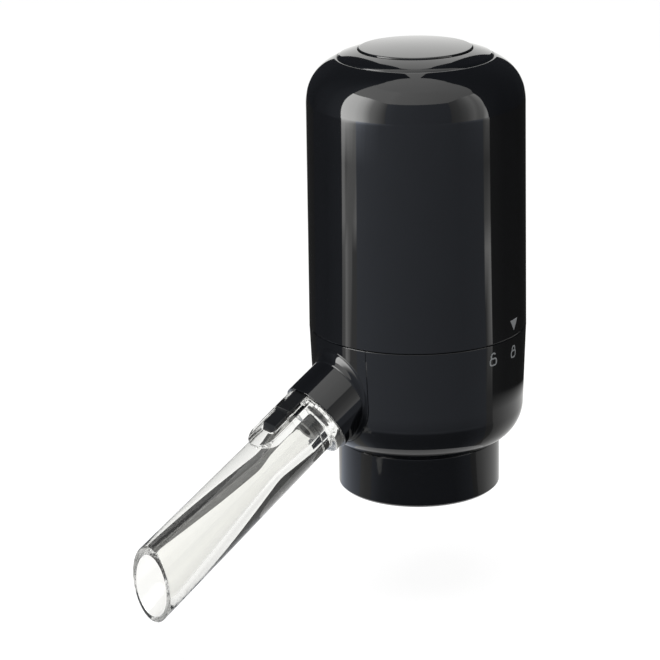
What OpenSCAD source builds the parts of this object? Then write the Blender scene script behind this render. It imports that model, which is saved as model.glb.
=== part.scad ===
// Battery-powered wine aerator that sits on the neck of a bottle and pours through a clear spout.
// The origin is the centre of the collar's lower rim. +Z runs up the body and the spout points to -Y.

/* [Body] */
// Diameter of the body at the seam between casing and housing
body_d = 60; // [59:0.5:64]
// How much narrower the casing is at its shoulder than at the seam
casing_taper = 0.6; // [0:0.1:1.2]
// How much narrower the housing is above its rounded bottom than at the seam
housing_taper = 1.7; // [1:0.1:2.4]
// Wall of the casing and the housing
wall = 2.2; // [1.8:0.1:2.6]
// Height of the seam above the collar's rim
seam_z = 46.6; // [46:0.2:52]
// Open line between casing and housing
seam_gap = 0.2; // [0.1:0.05:0.4]
// Height of the casing from the seam to its shoulder
casing_h = 63.7; // [63:0.1:70]
// How far inside the collar's edge the rounding of the housing's bottom begins
foot_inset = 4.45; // [4:0.05:5]
// Height of the lowest point of the housing's rounding
housing_base_z = 13.2; // [12.6:0.1:13.6]

/* [Crown and button] */
// Diameter of the crown ring
crown_d = 42; // [41:0.2:44]
// How far the crown ring reaches over the rounding of the casing's shoulder
crown_overlap = 2; // [1.6:0.1:2.6]
// Depth of the crown ring's seat below the top of the casing
crown_seat_depth = 2; // [1.6:0.1:2.4]
// Height of the crown ring's outer edge
crown_edge_h = 2.3; // [2:0.1:2.6]
// Rise of the crown ring from its outer to its inner edge
crown_rise = 2; // [1.4:0.1:2.4]
// Diameter of the power button
button_d = 30.6; // [28:0.2:32]
// Gap round the power button
button_gap = 0.25; // [0.15:0.05:0.4]
// Rise of the button's dome
button_dome = 1.2; // [0.8:0.1:1.8]
// Travel of the power button
button_travel = 1; // [0.6:0.1:1.2]

/* [Collar] */
// Gap between the collar's skirt and the sleeve round the bottle's finish
skirt_gap = 3.6; // [3:0.1:4.2]
// Height of the collar below the housing
collar_h = 14; // [13.6:0.1:15]
// Bore that the bottle's finish goes into
neck_bore_d = 30; // [29.5:0.1:31]
// Depth of that bore up to the mouth gasket
neck_depth = 10; // [8:0.1:10.4]
// Bore that the suction tube goes into
tube_bore_d = 8.2; // [6:0.1:8.4]
// Length of the tube socket above the deck
tube_socket_h = 12; // [8:0.5:14]

/* [Spout] */
// Slope of the spout below the horizontal
spout_tilt = 31.8; // [31:0.1:33]
// Height at which the spout's axis crosses the body's axis
spout_axis_z = 48.3; // [47.9:0.1:48.6]
// Diameter of the port
port_d = 21.3; // [20.6:0.1:21.8]
// Length of the port in front of the body, along the spout's axis
port_len = 6.4; // [5.8:0.1:8]
// Half the width of the panel that carries the port
panel_half_w = 12; // [11.6:0.1:12.8]
// Diameter of the spout's flange
spout_flange_d = 20; // [19.2:0.1:21]
// Thickness of the spout's flange
spout_flange_t = 2.7; // [2:0.1:3.2]
// Outer diameter of the spout behind its flange
spout_root_d = 16.1; // [15.8:0.1:16.6]
// Outer diameter of the spout at its mouth
spout_mouth_d = 17.8; // [17:0.1:19]
// Wall of the spout at its mouth
spout_wall = 1; // [0.8:0.1:1.7]
// Diameter of the throat where the spout's bore is narrowest
throat_d = 6; // [5:0.1:6.6]
// Length of the spout from the port's end to the middle of its mouth
spout_len = 64.8; // [58:0.2:72]
// Diameter of the nozzle's tip inside the spout
nozzle_d = 7.4; // [7:0.1:8]
// Length of the nozzle's tip past the port's end
nozzle_tip = 5.3; // [4.6:0.1:6.4]
// Width of the tongue that keys the spout
tongue_w = 5.3; // [4.8:0.1:6]
// Length of the tongue past the port's end
tongue_len = 13.8; // [11:0.1:14.2]
// Height of the tongue's top above the spout's axis
tongue_top = 9.6; // [9.4:0.05:9.7]
// Half the width of the pad round the tongue
pad_half_w = 5.2; // [5:0.1:6]
// Length of the pad from the port's end
pad_len = 19.8; // [18.6:0.1:22]
// Height of the pad's top above the spout's axis
pad_top = 8.9; // [8.6:0.05:9.2]

/* [Twist lock] */
// Angle that the casing turns from locked to unlocked
lock_turn = 17.5; // [16:0.5:20]
// Angle that each bayonet lug spans
lug_span = 14; // [10:1:16]
// Height of each bayonet lug
lug_h = 2.3; // [1.8:0.1:2.5]
// Height of the ledge that the lugs turn under
ledge_h = 2.8; // [2.4:0.1:3]

/* [Drive] */
// Diameter of the motor
motor_d = 20; // [18:0.2:20.2]
// Length of the motor's can
motor_len = 26; // [22:0.5:28]
// Diameter of the motor's shaft
shaft_d = 2; // [1.5:0.1:2.3]
// Diameter of the pump
pump_d = 24; // [23.6:0.1:24.2]
// Tilt of the wobble plate
wobble_tilt = 5; // [3:0.5:5.5]

/* [Battery] */
// Diameter of a battery cell
cell_d = 10.5; // [9.8:0.1:10.6]
// Length of a battery cell with its button
cell_len = 44.5; // [43:0.1:44.8]

/* [Hidden] */
$fn = 96;

// Clearances: a seat that is assembled once, a piece that turns or slides, a shaft in its bearing
// and a press fit
seat = 0.1;
run = 0.3;
shaft_fit = 0.05;
press = 0.02;
// How far a cut runs past what it cuts
past = 1;

// Collar and suction tube
skirt_t = 2.1;
sleeve_t = 1.8;
neck_r = neck_bore_d / 2;
collar_r = neck_r + sleeve_t + skirt_gap + skirt_t;
collar_rim = 0.6;
rib_count = 6;
rib_t = 1.4;
rib_z = 2.5;
gasket_t = 1.4;
gasket_lip = 0.4;
gasket_r = neck_r + gasket_lip;
gasket_hole_r = 8.2;
deck_z = neck_depth + gasket_t + seat;
boss_step = 2.5;
boss_r = collar_r - boss_step;

// Crown ring and casing
body_r = body_d / 2;
casing_top_r = body_r - casing_taper / 2;
crown_r = crown_d / 2;
shoulder_r = crown_r - crown_overlap;
shoulder_fillet = casing_top_r - shoulder_r;
casing_base_z = seam_z + seam_gap / 2;
shoulder_z = seam_z + casing_h;
casing_top_z = shoulder_z + shoulder_fillet;
casing_in_r = casing_top_r - wall;

// Housing
housing_top_z = seam_z - seam_gap / 2;
housing_low_r = body_r - housing_taper / 2;
foot_r = collar_r - foot_inset;
housing_fillet = housing_low_r - foot_r;
fillet_z = housing_base_z + housing_fillet;
floor_z = collar_h + seat;
floor_top = floor_z + wall;

// Socket of the suction tube
boss_top = floor_top + seat;
socket_wall = 2.4;
socket_r = tube_bore_d / 2 + socket_wall;
socket_flange_w = 2;
socket_flange_h = 3;
socket_flange_r = socket_r + socket_flange_w;
socket_flange_z = boss_top - socket_flange_h;
socket_top = deck_z + tube_socket_h;

// Twist lock
ring_t = 1.8;
ring_inset = 1.9;
ring_r = casing_in_r - ring_inset;
lug_depth = 1.6;
lug_r = ring_r + lug_depth;
ledge_r = ring_r + run;
ledge_top = housing_top_z - seat;
ledge_z = ledge_top - ledge_h;
lug_top = ledge_z - run;
lug_z = lug_top - lug_h;
lug_count = 3;
lug_slack = 1.5;
lug_turn = 90;

// Screws
screw_r = 1;
screw_head_r = 1.8;
screw_head_h = 1.4;
screw_bite = 6;
screw_end_room = 1.2;
small_screw_r = 0.8;
small_head_r = 1.5;
small_head_h = 1;
blind_floor = 0.4;

// Head chassis, with four screws to the casing and four to the battery frame
plate_rise = 0.7;
plate_z = casing_base_z + plate_rise;
plate_t = 2.6;
plate_top = plate_z + plate_t;
plate_r = casing_in_r - seat;
post_count = 4;
post_turn = 45;
head_room = 0.7;
casing_boss_r = 2.6;
casing_boss_at = ring_r - ring_t - screw_head_r - head_room;
casing_boss_h = 10;
boss_rib_t = 1.6;
air_tube_r = 3;
air_bore_r = 1.2;

// Duct
chamber_r = 14;
chamber_wall = 2;
lid_t = 1;
lid_room = 0.6;
lid_spigot_t = 1.5;
lid_spigot_h = 1;
chamber_top = plate_z - lid_t - lid_room;
duct_flange_r = foot_r - run
  + sqrt(pow(housing_fillet - wall, 2) - pow(fillet_z - boss_top, 2));
duct_flange_t = 2.5;
duct_r = 4.8;
duct_bore_r = 3.3;
duct_overlap = 4;
duct_screw_at = (neck_r + sleeve_t + boss_r) / 2;
air_socket_wall = 1.7;
air_socket_r = air_tube_r + run + air_socket_wall;
air_socket_h = 7.4;
air_socket_z = chamber_top - air_socket_h;
valve_hole_r = 1.5;
valve_seat_t = 1.5;
valve_flange_t = 1;
bill_r = 2.2;
bill_h = 4;
bill_tip = 1;
air_tube_gap = 0.8;
air_tube_z = air_socket_z + valve_flange_t + air_tube_gap;
air_ring_rise = 4;
air_ring_z = air_socket_z + air_ring_rise;

// Port, nozzle and spout
port_end = body_r / cos(spout_tilt) + port_len;
port_r = port_d / 2;
port_wall = 1.75;
port_bore_r = port_r - port_wall;
panel_lip = 1.6;
panel_lip_t = 1.6;
panel_back = sqrt(pow(ledge_r - past, 2) - pow(panel_half_w + panel_lip + run, 2));
port_wall_inset = 0.5;
panel_z = spout_axis_z - (body_r - port_wall_inset) * tan(spout_tilt);
port_flare = 2.4;
port_root = 2;
flare_len = 5;
port_start = (body_r - wall - port_r * sin(spout_tilt)) / cos(spout_tilt) - port_root;
flare_end = port_start + flare_len;
nozzle_r = nozzle_d / 2;
nozzle_flange_back = 8.7;
nozzle_spigot = 3;
nozzle_flange_z = port_end - nozzle_flange_back;
nozzle_rear = nozzle_flange_z - nozzle_spigot;
nozzle_flange_t = 7.5;
nozzle_bore_r = 2.2;
nozzle_step = 2;
tongue_t = 1.55;
tongue_ridge_r = 0.4;
key_room = 0.25;
spout_start = port_end + seat;
spout_socket_r = nozzle_r + run;
spout_socket_room = 2.5;
spout_socket_end = port_end + nozzle_tip + spout_socket_room;
mouth_s = port_end + spout_len;
spout_reach = mouth_s * cos(spout_tilt);
mouth_r = spout_mouth_d / 2;
throat_r = throat_d / 2;
throat_s = port_end + pad_len;
spout_past = mouth_r * tan(spout_tilt) + past;
o_ring_wire = 0.5;
o_ring_r = nozzle_r + run - seat - o_ring_wire;
o_ring_share = 0.55;
o_ring_at = port_end + nozzle_tip * o_ring_share;
air_ring_wire = 0.6;
air_ring_r = air_tube_r + run - seat - air_ring_wire;

// Pump and motor, counted up from the chassis plate
pump_r = pump_d / 2;
pump_wall = 2;
pump_cover_h = 3;
lobe_r = 2;
lobe_out = 0.2;
lobe_at = pump_r + lobe_out;
lobe_turn = post_turn / 2;
diaphragm_z = plate_top + pump_cover_h;
diaphragm_t = 0.8;
pump_body_z = diaphragm_z + diaphragm_t;
pump_body_h = 12.2;
motor_z = pump_body_z + pump_body_h;
motor_r = motor_d / 2;
motor_wall = 0.8;
shaft_r = shaft_d / 2;
shaft_room = 2;
shaft_end = 1;
end_cap_h = 2.5;
cap_spigot_h = 1.5;
tab_inset = 3.5;
tab_w = 1.6;
tab_t = 1;
tab_h = 2;
magnet_t = 1.8;
magnet_span = 120;
air_gap = 0.6;
core_r = motor_r - motor_wall - seat - magnet_t - air_gap;
core_end_room = 5;
core_z = motor_z + core_end_room;
core_h = motor_len - 2 * core_end_room;
pole_count = 3;
pole_slot_w = 1.2;
pole_slot_depth = 2.4;
cup_count = 3;
cup_at = 5.6;
cup_r = 2.6;
cup_h = 2;
cup_well_h = 1.5;
wobble_rise = 3.8;
wobble_z = pump_body_z + wobble_rise;
wobble_room = 1.6;
wobble_r = pump_r - pump_wall - wobble_room;
wobble_t = 1.6;
wobble_hub_r = 2.4;
wobble_hub_h = 3;
crank_r = 0.8;
crank_gap = 0.6;
eccentric_r = 4.5;
eccentric_h = 2.4;
eccentric_gap = 0.4;
eccentric_z = motor_z - pump_wall - eccentric_gap - eccentric_h;
outlet_r = 2.2;
outlet_h = 1.6;

// Battery frame, counted up from the chassis plate
cell_count = 4;
cell_r = cell_d / 2;
cell_room = 2;
cell_at = casing_in_r - cell_room - cell_r;
nub_h = 0.8;
nub_r = 1.9;
frame_room = 0.9;
frame_r = casing_in_r - frame_room;
pump_room = 0.4;
frame_hole_r = lobe_at + lobe_r + pump_room;
motor_room = 0.5;
frame_plate_t = 2;
frame_lift = 2;
frame_z = plate_top + frame_lift;
spring_h = 4;
spring_r = 4;
spring_top_r = 2.6;
spring_turns = 3;
spring_wire = 0.35;
cell_z = frame_z + frame_plate_t + spring_h;
contact_t = 0.5;
contact_inset = 1;
contact_z = cell_z + cell_len + seat;
frame_top_z = contact_z + contact_t + seat;
pillar_w = 4;
pillar_d = 3.2;
pillar_at = casing_boss_at - casing_boss_r - run - pillar_d / 2;
standoff_h = 1;
standoff_r = 2.2;
standoff_at = 15;
standoff_hole = 1.5;
board_z = frame_top_z + frame_plate_t + standoff_h;
board_t = 1.6;
board_r = 19;
board_top = board_z + board_t;

// Crown, button and switch
crown_seat_z = casing_top_z - crown_seat_depth;
crown_edge_z = crown_seat_z + crown_edge_h;
crown_in_z = crown_edge_z + crown_rise;
crown_edge = 0.4;
crown_bulge = 0.4;
button_r = button_d / 2;
crown_bore_r = button_r + button_gap;
crown_hub_w = 2.3;
crown_hub_r = crown_bore_r + crown_hub_w;
crown_hub_h = 1.3;
ledge_t = 2;
button_drop = 0.1;
button_edge_z = crown_in_z - button_drop;
button_top_z = button_edge_z + button_dome;
button_cap_t = 1.7;
button_under_z = button_edge_z - button_cap_t;
button_skirt = 2;
button_flange_back = 0.5;
button_flange_r = crown_hub_r - button_flange_back;
button_flange_t = 1.2;
button_flange_z = crown_seat_z - crown_hub_h - seat - button_flange_t;
button_stem_r = 2.2;
switch_w = 7.8;
switch_h = 3.5;
plunger_r = 1.7;
plunger_gap = 0.5;
plunger_proud = 0.5;
plunger_z = board_top + plunger_gap + button_travel;
plunger_top = board_top + switch_h + button_travel + plunger_proud;
button_spring_r = 8;
button_spring_wire = 0.45;
button_spring_turns = 5;

// A ring of rectangular section, turned about Z
module tube(r_out, r_in, z0, z1) {
  rotate_extrude() translate([r_in, z0]) square([r_out - r_in, z1 - z0]);
}

// Places children round Z, the first one at an angle
module around(count, first = 0) {
  for (i = [0:count - 1]) rotate([0, 0, first + 360 * i / count]) children();
}

// A sector of a ring, centred on an angle
module sector(r_out, r_in, z0, z1, centre, span) {
  rotate([0, 0, centre - span / 2]) rotate_extrude(angle = span)
    translate([r_in, z0]) square([r_out - r_in, z1 - z0]);
}

// A pan-head screw with its head's seat at the origin and its shank along -Z
module screw(shank_r, head_r, head_h, length) {
  cylinder(r = head_r, h = head_h);
  translate([0, 0, -length]) cylinder(r = shank_r, h = length);
}

// A rubber ring about Z
module o_ring(r, wire) {
  rotate_extrude() translate([r, 0]) circle(wire, $fn = 32);
}

// Puts children on the spout's axis: +Z runs out of the spout, +Y is its upper side
module along_spout() {
  translate([0, 0, spout_axis_z]) rotate([90 + spout_tilt, 0, 0]) children();
}

// Points of a coil that winds up from r0 to r1, and the wire swept along them
function coil_point(t, r0, r1, h, turns) =
  [(r0 + (r1 - r0) * t) * cos(360 * turns * t), (r0 + (r1 - r0) * t) * sin(360 * turns * t), h * t];
coil_sides = 6;
coil_rings_per_turn = 16;
module coil(r0, r1, h, turns, wire) {
  rings = turns * coil_rings_per_turn;
  lift = h - 2 * wire;
  points = [for (i = [0:rings]) for (k = [0:coil_sides - 1])
    let (p = coil_point(i / rings, r0, r1, lift, turns), a = 360 * turns * i / rings,
         out = wire * cos(360 * k / coil_sides), up = wire * sin(360 * k / coil_sides))
    [p[0] + out * cos(a), p[1] + out * sin(a), p[2] + up + wire]];
  sides = [for (i = [0:rings - 1]) for (k = [0:coil_sides - 1])
    let (a = i * coil_sides + k, b = i * coil_sides + (k + 1) % coil_sides)
    each [[a, a + coil_sides, b], [b, a + coil_sides, b + coil_sides]]];
  first = [for (k = [1:coil_sides - 2]) [0, k, k + 1]];
  end = rings * coil_sides;
  last = [for (k = [1:coil_sides - 2]) [end, end + k + 1, end + k]];
  polyhedron(points, concat(sides, first, last), convexity = 10);
}

// Half section of the lower body, drawn in by an inset
module housing_section(inset) {
  polygon([[0, fillet_z], [housing_low_r - inset, fillet_z], [body_r - inset, seam_z], [0, seam_z]]);
  translate([0, housing_base_z + inset]) square([foot_r, housing_fillet - inset]);
  intersection() {
    translate([foot_r, fillet_z]) circle(housing_fillet - inset);
    translate([foot_r, housing_base_z]) square([housing_fillet, housing_fillet]);
  }
}

// Half section of the upper body, drawn in by an inset
module casing_section(inset) {
  polygon([[0, seam_z], [body_r - inset, seam_z], [casing_top_r - inset, shoulder_z], [0, shoulder_z]]);
  translate([0, shoulder_z]) square([shoulder_r, shoulder_fillet - inset]);
  intersection() {
    translate([shoulder_r, shoulder_z]) circle(shoulder_fillet - inset);
    translate([shoulder_r, shoulder_z]) square([shoulder_fillet, shoulder_fillet]);
  }
}

// U-shaped prism towards -Y that cuts the panel out of the housing's front, up to a height
module panel_prism(half_w, top) {
  translate([0, -panel_back, 0]) rotate([90, 0, 0]) linear_extrude(body_d) intersection() {
    union() {
      translate([0, panel_z]) circle(half_w);
      translate([-half_w, panel_z]) square([2 * half_w, body_d]);
    }
    translate([-body_d, 0]) square([2 * body_d, top]);
  }
}

module lower_housing() color("#1b1c1f") {
  difference() {
    rotate_extrude() difference() {
      housing_section(0);
      intersection() {
        housing_section(wall);
        translate([0, floor_top]) square([body_d, body_d]);
      }
      translate([0, housing_top_z]) square([body_d, past]);
      square([boss_r + 2 * seat, body_d]);
      square([collar_r + 2 * seat, floor_z]);
    }
    panel_prism(panel_half_w, seam_z + past);
  }
  housing_ledge();
}

// Ledge of the twist lock, with a notch for each lug and a stop on each side of its travel
module housing_ledge() {
  difference() {
    rotate_extrude() intersection() {
      translate([ledge_r, ledge_z]) square([body_r, ledge_h]);
      housing_section(wall - seat);
    }
    around(lug_count, lug_turn - lock_turn)
      sector(body_r, ledge_r - past, ledge_z - past, ledge_top + past, 0, lug_span + 2 * lug_slack);
    panel_prism(panel_half_w + panel_lip + run, seam_z + past);
  }
  around(lug_count, lug_turn + lug_span / 2 + lug_slack) intersection() {
    sector(body_r, ledge_r + run, lug_z, ledge_z + past, 0, lug_slack);
    rotate_extrude() housing_section(wall - seat);
  }
}

module spout_block() color("#1b1c1f") {
  difference() {
    union() {
      intersection() {
        rotate_extrude() difference() {
          housing_section(0);
          housing_section(wall + seat + panel_lip_t);
        }
        panel_prism(panel_half_w - seat, housing_top_z);
      }
      intersection() {
        rotate_extrude() difference() {
          housing_section(wall + seat);
          housing_section(wall + seat + panel_lip_t);
        }
        panel_prism(panel_half_w + panel_lip, ledge_z - seat);
      }
      difference() {
        union() {
          along_spout() translate([0, 0, port_start]) cylinder(r = port_r, h = port_end - port_start);
          intersection() {
            along_spout() port_flare_ring();
            panel_prism(panel_half_w - seat, housing_top_z);
          }
        }
        rotate_extrude() housing_section(wall);
      }
    }
    along_spout() cylinder(r = port_bore_r, h = port_end + past);
    along_spout() tongue_slot(nozzle_flange_z - past, port_end + past);
  }
}

// Flare by which the upper side of the port runs into the panel
module port_flare_ring() {
  rotate_extrude() difference() {
    translate([port_bore_r, port_start]) square([port_r + port_flare - port_bore_r, flare_end - port_start]);
    translate([port_r + port_flare, flare_end]) circle(port_flare);
  }
}

// Slot that the tongue lies in, open towards both ends
module tongue_slot(from, to) {
  half = tongue_w / 2 + key_room;
  translate([-half, 0, from]) cube([2 * half, tongue_top + key_room, to - from]);
}

module spout_nozzle() color("#141518") along_spout() {
  tip = port_end + nozzle_tip;
  difference() {
    union() {
      translate([0, 0, nozzle_rear]) cylinder(r = duct_r, h = nozzle_flange_z - nozzle_rear);
      translate([0, 0, nozzle_flange_z]) cylinder(r = port_bore_r - seat, h = nozzle_flange_t);
      translate([0, 0, nozzle_flange_z]) cylinder(r = nozzle_r, h = tip - nozzle_flange_z);
      tongue();
    }
    translate([0, 0, nozzle_rear - past]) cylinder(r = nozzle_bore_r, h = tip - nozzle_rear + 2 * past);
    translate([0, 0, nozzle_rear - past]) cylinder(r = duct_bore_r, h = nozzle_spigot + past);
    translate([0, 0, nozzle_flange_z]) cylinder(r1 = duct_bore_r, r2 = nozzle_bore_r, h = nozzle_step);
    translate([0, 0, o_ring_at]) o_ring(o_ring_r, o_ring_wire + shaft_fit);
  }
}

// Black tongue above the nozzle, with a grip ridge across it and a bevelled end
module tongue() {
  tongue_end = port_end + tongue_len;
  bottom = tongue_top - tongue_t;
  translate([-tongue_w / 2, nozzle_r / 2, nozzle_flange_z])
    cube([tongue_w, tongue_top - nozzle_r / 2, nozzle_flange_t - past]);
  rotate([90, 0, 90]) translate([0, 0, -tongue_w / 2]) linear_extrude(tongue_w)
    polygon([[bottom, nozzle_flange_z], [tongue_top, nozzle_flange_z], [tongue_top, tongue_end - tongue_t],
             [bottom, tongue_end]]);
  translate([-tongue_w / 2, tongue_top, port_end + tongue_len / 2]) rotate([0, 90, 0])
    cylinder(r = tongue_ridge_r, h = tongue_w, $fn = 24);
}

module nozzle_o_ring() color("#2a2a2c")
  along_spout() translate([0, 0, o_ring_at]) o_ring(o_ring_r, o_ring_wire);

module bottle_collar() color("#1b1c1f") {
  difference() {
    rotate_extrude() difference() {
      union() {
        polygon([[collar_r - skirt_t, 0], [collar_r - collar_rim, 0], [collar_r, collar_rim],
                 [collar_r, collar_h], [collar_r - skirt_t, collar_h]]);
        translate([0, deck_z]) square([collar_r - skirt_t, collar_h - deck_z]);
        translate([0, deck_z]) square([boss_r, boss_top - deck_z]);
        translate([neck_r, 0]) square([sleeve_t, deck_z]);
      }
      square([socket_r + seat, boss_top + past]);
      translate([0, socket_flange_z]) square([socket_flange_r + seat, boss_top]);
      translate([0, neck_depth]) square([gasket_r + seat, gasket_t + seat]);
    }
    around(lug_count, lug_turn) translate([duct_screw_at, 0, deck_z + past])
      cylinder(r = screw_r + shaft_fit, h = boss_top);
  }
  collar_ribs();
}

// Ribs between the collar's skirt and the sleeve round the bottle's finish
module collar_ribs() {
  rib_in = neck_r + sleeve_t / 2;
  rib_out = collar_r - skirt_t / 2;
  around(rib_count, 180 / rib_count) translate([rib_in, -rib_t / 2, rib_z])
    cube([rib_out - rib_in, rib_t, deck_z - rib_z + seat]);
}

module mouth_gasket() color("#d9d9d6") {
  tube(gasket_r, gasket_hole_r, neck_depth, neck_depth + gasket_t);
}

module tube_socket() color("#e4e3df") {
  tube(socket_r, tube_bore_d / 2, deck_z, socket_top);
  tube(socket_flange_r, tube_bore_d / 2, socket_flange_z + seat, boss_top - seat);
}

module duct_body() color("#d6d8d8") {
  difference() {
    union() {
      difference() {
        translate([0, 0, boss_top]) cylinder(r = duct_flange_r, h = duct_flange_t);
        panel_prism(panel_half_w + panel_lip + run, seam_z);
      }
      translate([0, 0, boss_top]) cylinder(r = chamber_r, h = chamber_top - boss_top);
      along_spout() translate([0, 0, chamber_r]) cylinder(r = duct_r, h = nozzle_rear - seat - chamber_r);
    }
    translate([0, 0, boss_top - past]) cylinder(r = socket_r + seat, h = duct_flange_t + 2 * past);
    translate([0, 0, boss_top + duct_flange_t])
      cylinder(r = chamber_r - chamber_wall, h = chamber_top + past);
    along_spout() translate([0, 0, chamber_r - duct_overlap]) cylinder(r = duct_bore_r, h = nozzle_rear);
    around(lug_count, lug_turn) translate([duct_screw_at, 0, boss_top - past])
      cylinder(r = screw_r + seat, h = duct_flange_t + 2 * past);
  }
}

module duct_lid() color("#d6d8d8") {
  rotate_extrude() difference() {
    union() {
      translate([0, chamber_top]) square([chamber_r, lid_t]);
      translate([chamber_r - chamber_wall - seat - lid_spigot_t, chamber_top - lid_spigot_h])
        square([lid_spigot_t, lid_spigot_h]);
      translate([0, air_socket_z - valve_seat_t])
        square([air_socket_r, chamber_top - air_socket_z + valve_seat_t]);
    }
    translate([0, air_socket_z]) square([air_tube_r + run, chamber_top]);
    square([valve_hole_r, chamber_top]);
  }
}

// Duckbill valve that hangs through the floor of the air socket
module air_valve() color("#b9bcbc") {
  bill_z = air_socket_z - valve_seat_t - bill_h - seat;
  translate([0, 0, air_socket_z]) cylinder(r = air_tube_r, h = valve_flange_t);
  translate([0, 0, bill_z + bill_h]) cylinder(r = valve_hole_r - shaft_fit, h = valve_seat_t + 2 * seat);
  intersection() {
    translate([0, 0, bill_z]) cylinder(r = bill_r, h = bill_h);
    rotate([90, 0, 0]) translate([0, 0, -2 * bill_r]) linear_extrude(4 * bill_r)
      polygon([[-bill_tip / 2, bill_z], [bill_tip / 2, bill_z], [bill_r, bill_z + bill_h],
               [-bill_r, bill_z + bill_h]]);
  }
}

module duct_screws() color("#a9abad") {
  around(lug_count, lug_turn) translate([duct_screw_at, 0, boss_top + duct_flange_t])
    screw(screw_r, screw_head_r, screw_head_h, boss_top + duct_flange_t - deck_z - screw_end_room);
}

module upper_casing() color("#1b1c1f") {
  difference() {
    rotate_extrude() difference() {
      casing_section(0);
      difference() {
        casing_section(wall);
        translate([0, crown_seat_z - ledge_t]) square([body_d, body_d]);
      }
      translate([0, seam_z - past]) square([body_d, casing_base_z - seam_z + past]);
      translate([0, crown_seat_z]) square([crown_r + seat, body_d]);
      square([crown_hub_r + seat, casing_top_z + past]);
    }
  }
  around(post_count, post_turn) difference() {
    intersection() {
      union() {
        translate([casing_boss_at, 0, plate_top]) cylinder(r = casing_boss_r, h = casing_boss_h);
        translate([casing_boss_at, -boss_rib_t / 2, plate_top])
          cube([body_r - casing_boss_at, boss_rib_t, casing_boss_h]);
      }
      rotate_extrude() casing_section(wall / 2);
    }
    translate([casing_boss_at, 0, plate_top - past])
      cylinder(r = screw_r + shaft_fit, h = casing_boss_h - past);
  }
}

// Ring round the button, whose top is an arc between its two edges
module crown_ring() color("#202124") {
  outer = [crown_r - crown_edge, crown_edge_z];
  inner = [crown_bore_r + crown_edge, crown_in_z];
  chord = norm(inner - outer);
  away = [inner[1] - outer[1], outer[0] - inner[0]] / chord;
  bulge_r = chord * chord / (8 * crown_bulge) + crown_bulge / 2;
  rotate_extrude() {
    polygon([
      [crown_bore_r, crown_seat_z - crown_hub_h], [crown_hub_r, crown_seat_z - crown_hub_h],
      [crown_hub_r, crown_seat_z], [crown_r, crown_seat_z], [crown_r, crown_edge_z - crown_edge],
      outer, inner, [crown_bore_r, crown_in_z - crown_edge]
    ]);
    intersection() {
      translate((outer + inner) / 2 + (crown_bulge - bulge_r) * away) circle(bulge_r, $fn = 360);
      polygon([outer, outer + 2 * crown_bulge * away, inner + 2 * crown_bulge * away, inner]);
    }
  }
}

module head_chassis() color("#3a3c40") {
  difference() {
    union() {
      translate([0, 0, plate_z]) cylinder(r = plate_r, h = plate_t);
      tube(ring_r, ring_r - ring_t, lug_z, plate_z + seat);
      around(lug_count, lug_turn) sector(lug_r, ring_r - ring_t / 2, lug_z, lug_top, 0, lug_span);
      translate([0, 0, air_tube_z]) cylinder(r = air_tube_r, h = plate_z - air_tube_z + seat);
    }
    translate([0, 0, air_tube_z - past]) cylinder(r = air_bore_r, h = plate_top);
    translate([0, 0, plate_top - outlet_h - seat]) cylinder(r = outlet_r + seat, h = outlet_h + past);
    translate([0, 0, air_ring_z]) o_ring(air_ring_r, air_ring_wire + shaft_fit);
    around(post_count, post_turn) {
      translate([casing_boss_at, 0, 0]) plate_screw_hole();
      translate([pillar_at, 0, 0]) plate_screw_hole();
    }
    around(post_count, lobe_turn) translate([lobe_at, 0, plate_z + blind_floor])
      cylinder(r = small_screw_r + shaft_fit, h = plate_t);
  }
}

// Counterbored hole through the chassis plate, for a screw from below
module plate_screw_hole() {
  translate([0, 0, plate_z - past]) cylinder(r = screw_head_r + seat, h = screw_head_h + past);
  translate([0, 0, plate_z]) cylinder(r = screw_r + seat, h = plate_t + past);
}

module air_nozzle_o_ring() color("#2a2a2c") translate([0, 0, air_ring_z]) o_ring(air_ring_r, air_ring_wire);

module chassis_screws() color("#a9abad") plate_screws(casing_boss_at);

module frame_screws() color("#a9abad") plate_screws(pillar_at);

// Four screws up through the chassis plate
module plate_screws(at) {
  length = plate_t - screw_head_h + screw_bite;
  around(post_count, post_turn) translate([at, 0, plate_z + screw_head_h]) rotate([180, 0, 0])
    screw(screw_r, screw_head_r, screw_head_h, length);
}

// Round pump section with a lobe and a hole for each of its screws
module pump_section(z0, z1) {
  translate([0, 0, z0]) linear_extrude(z1 - z0) difference() {
    union() {
      circle(pump_r);
      around(post_count, lobe_turn) translate([lobe_at, 0]) circle(lobe_r);
    }
    around(post_count, lobe_turn) translate([lobe_at, 0]) circle(small_screw_r + seat);
  }
}

module pump_cover() color("#e2e2de") {
  difference() {
    union() {
      pump_section(plate_top, diaphragm_z);
      translate([0, 0, plate_top - outlet_h]) cylinder(r = outlet_r, h = outlet_h + past);
    }
    translate([0, 0, plate_top - outlet_h - past]) cylinder(r = air_bore_r, h = outlet_h + pump_cover_h);
    around(cup_count) translate([cup_at, 0, diaphragm_z - cup_well_h])
      cylinder(r = cup_r, h = cup_well_h + past);
  }
}

module pump_diaphragm() color("#26282b") {
  difference() {
    union() {
      pump_section(diaphragm_z, pump_body_z);
      around(cup_count) translate([cup_at, 0, pump_body_z]) cylinder(r = cup_r, h = cup_h);
    }
    around(cup_count) translate([cup_at, 0, diaphragm_z - past])
      cylinder(r = cup_r - diaphragm_t, h = cup_h + past);
  }
}

module pump_body() color("#e2e2de") {
  ceiling = motor_z - pump_wall;
  difference() {
    pump_section(pump_body_z, motor_z);
    rotate_extrude() polygon([
      [0, pump_body_z - past], [pump_r - pump_wall, pump_body_z - past], [pump_r - pump_wall, ceiling],
      [shaft_r + shaft_room, ceiling], [shaft_r + shaft_room, motor_z + past], [0, motor_z + past]
    ]);
  }
}

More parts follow.
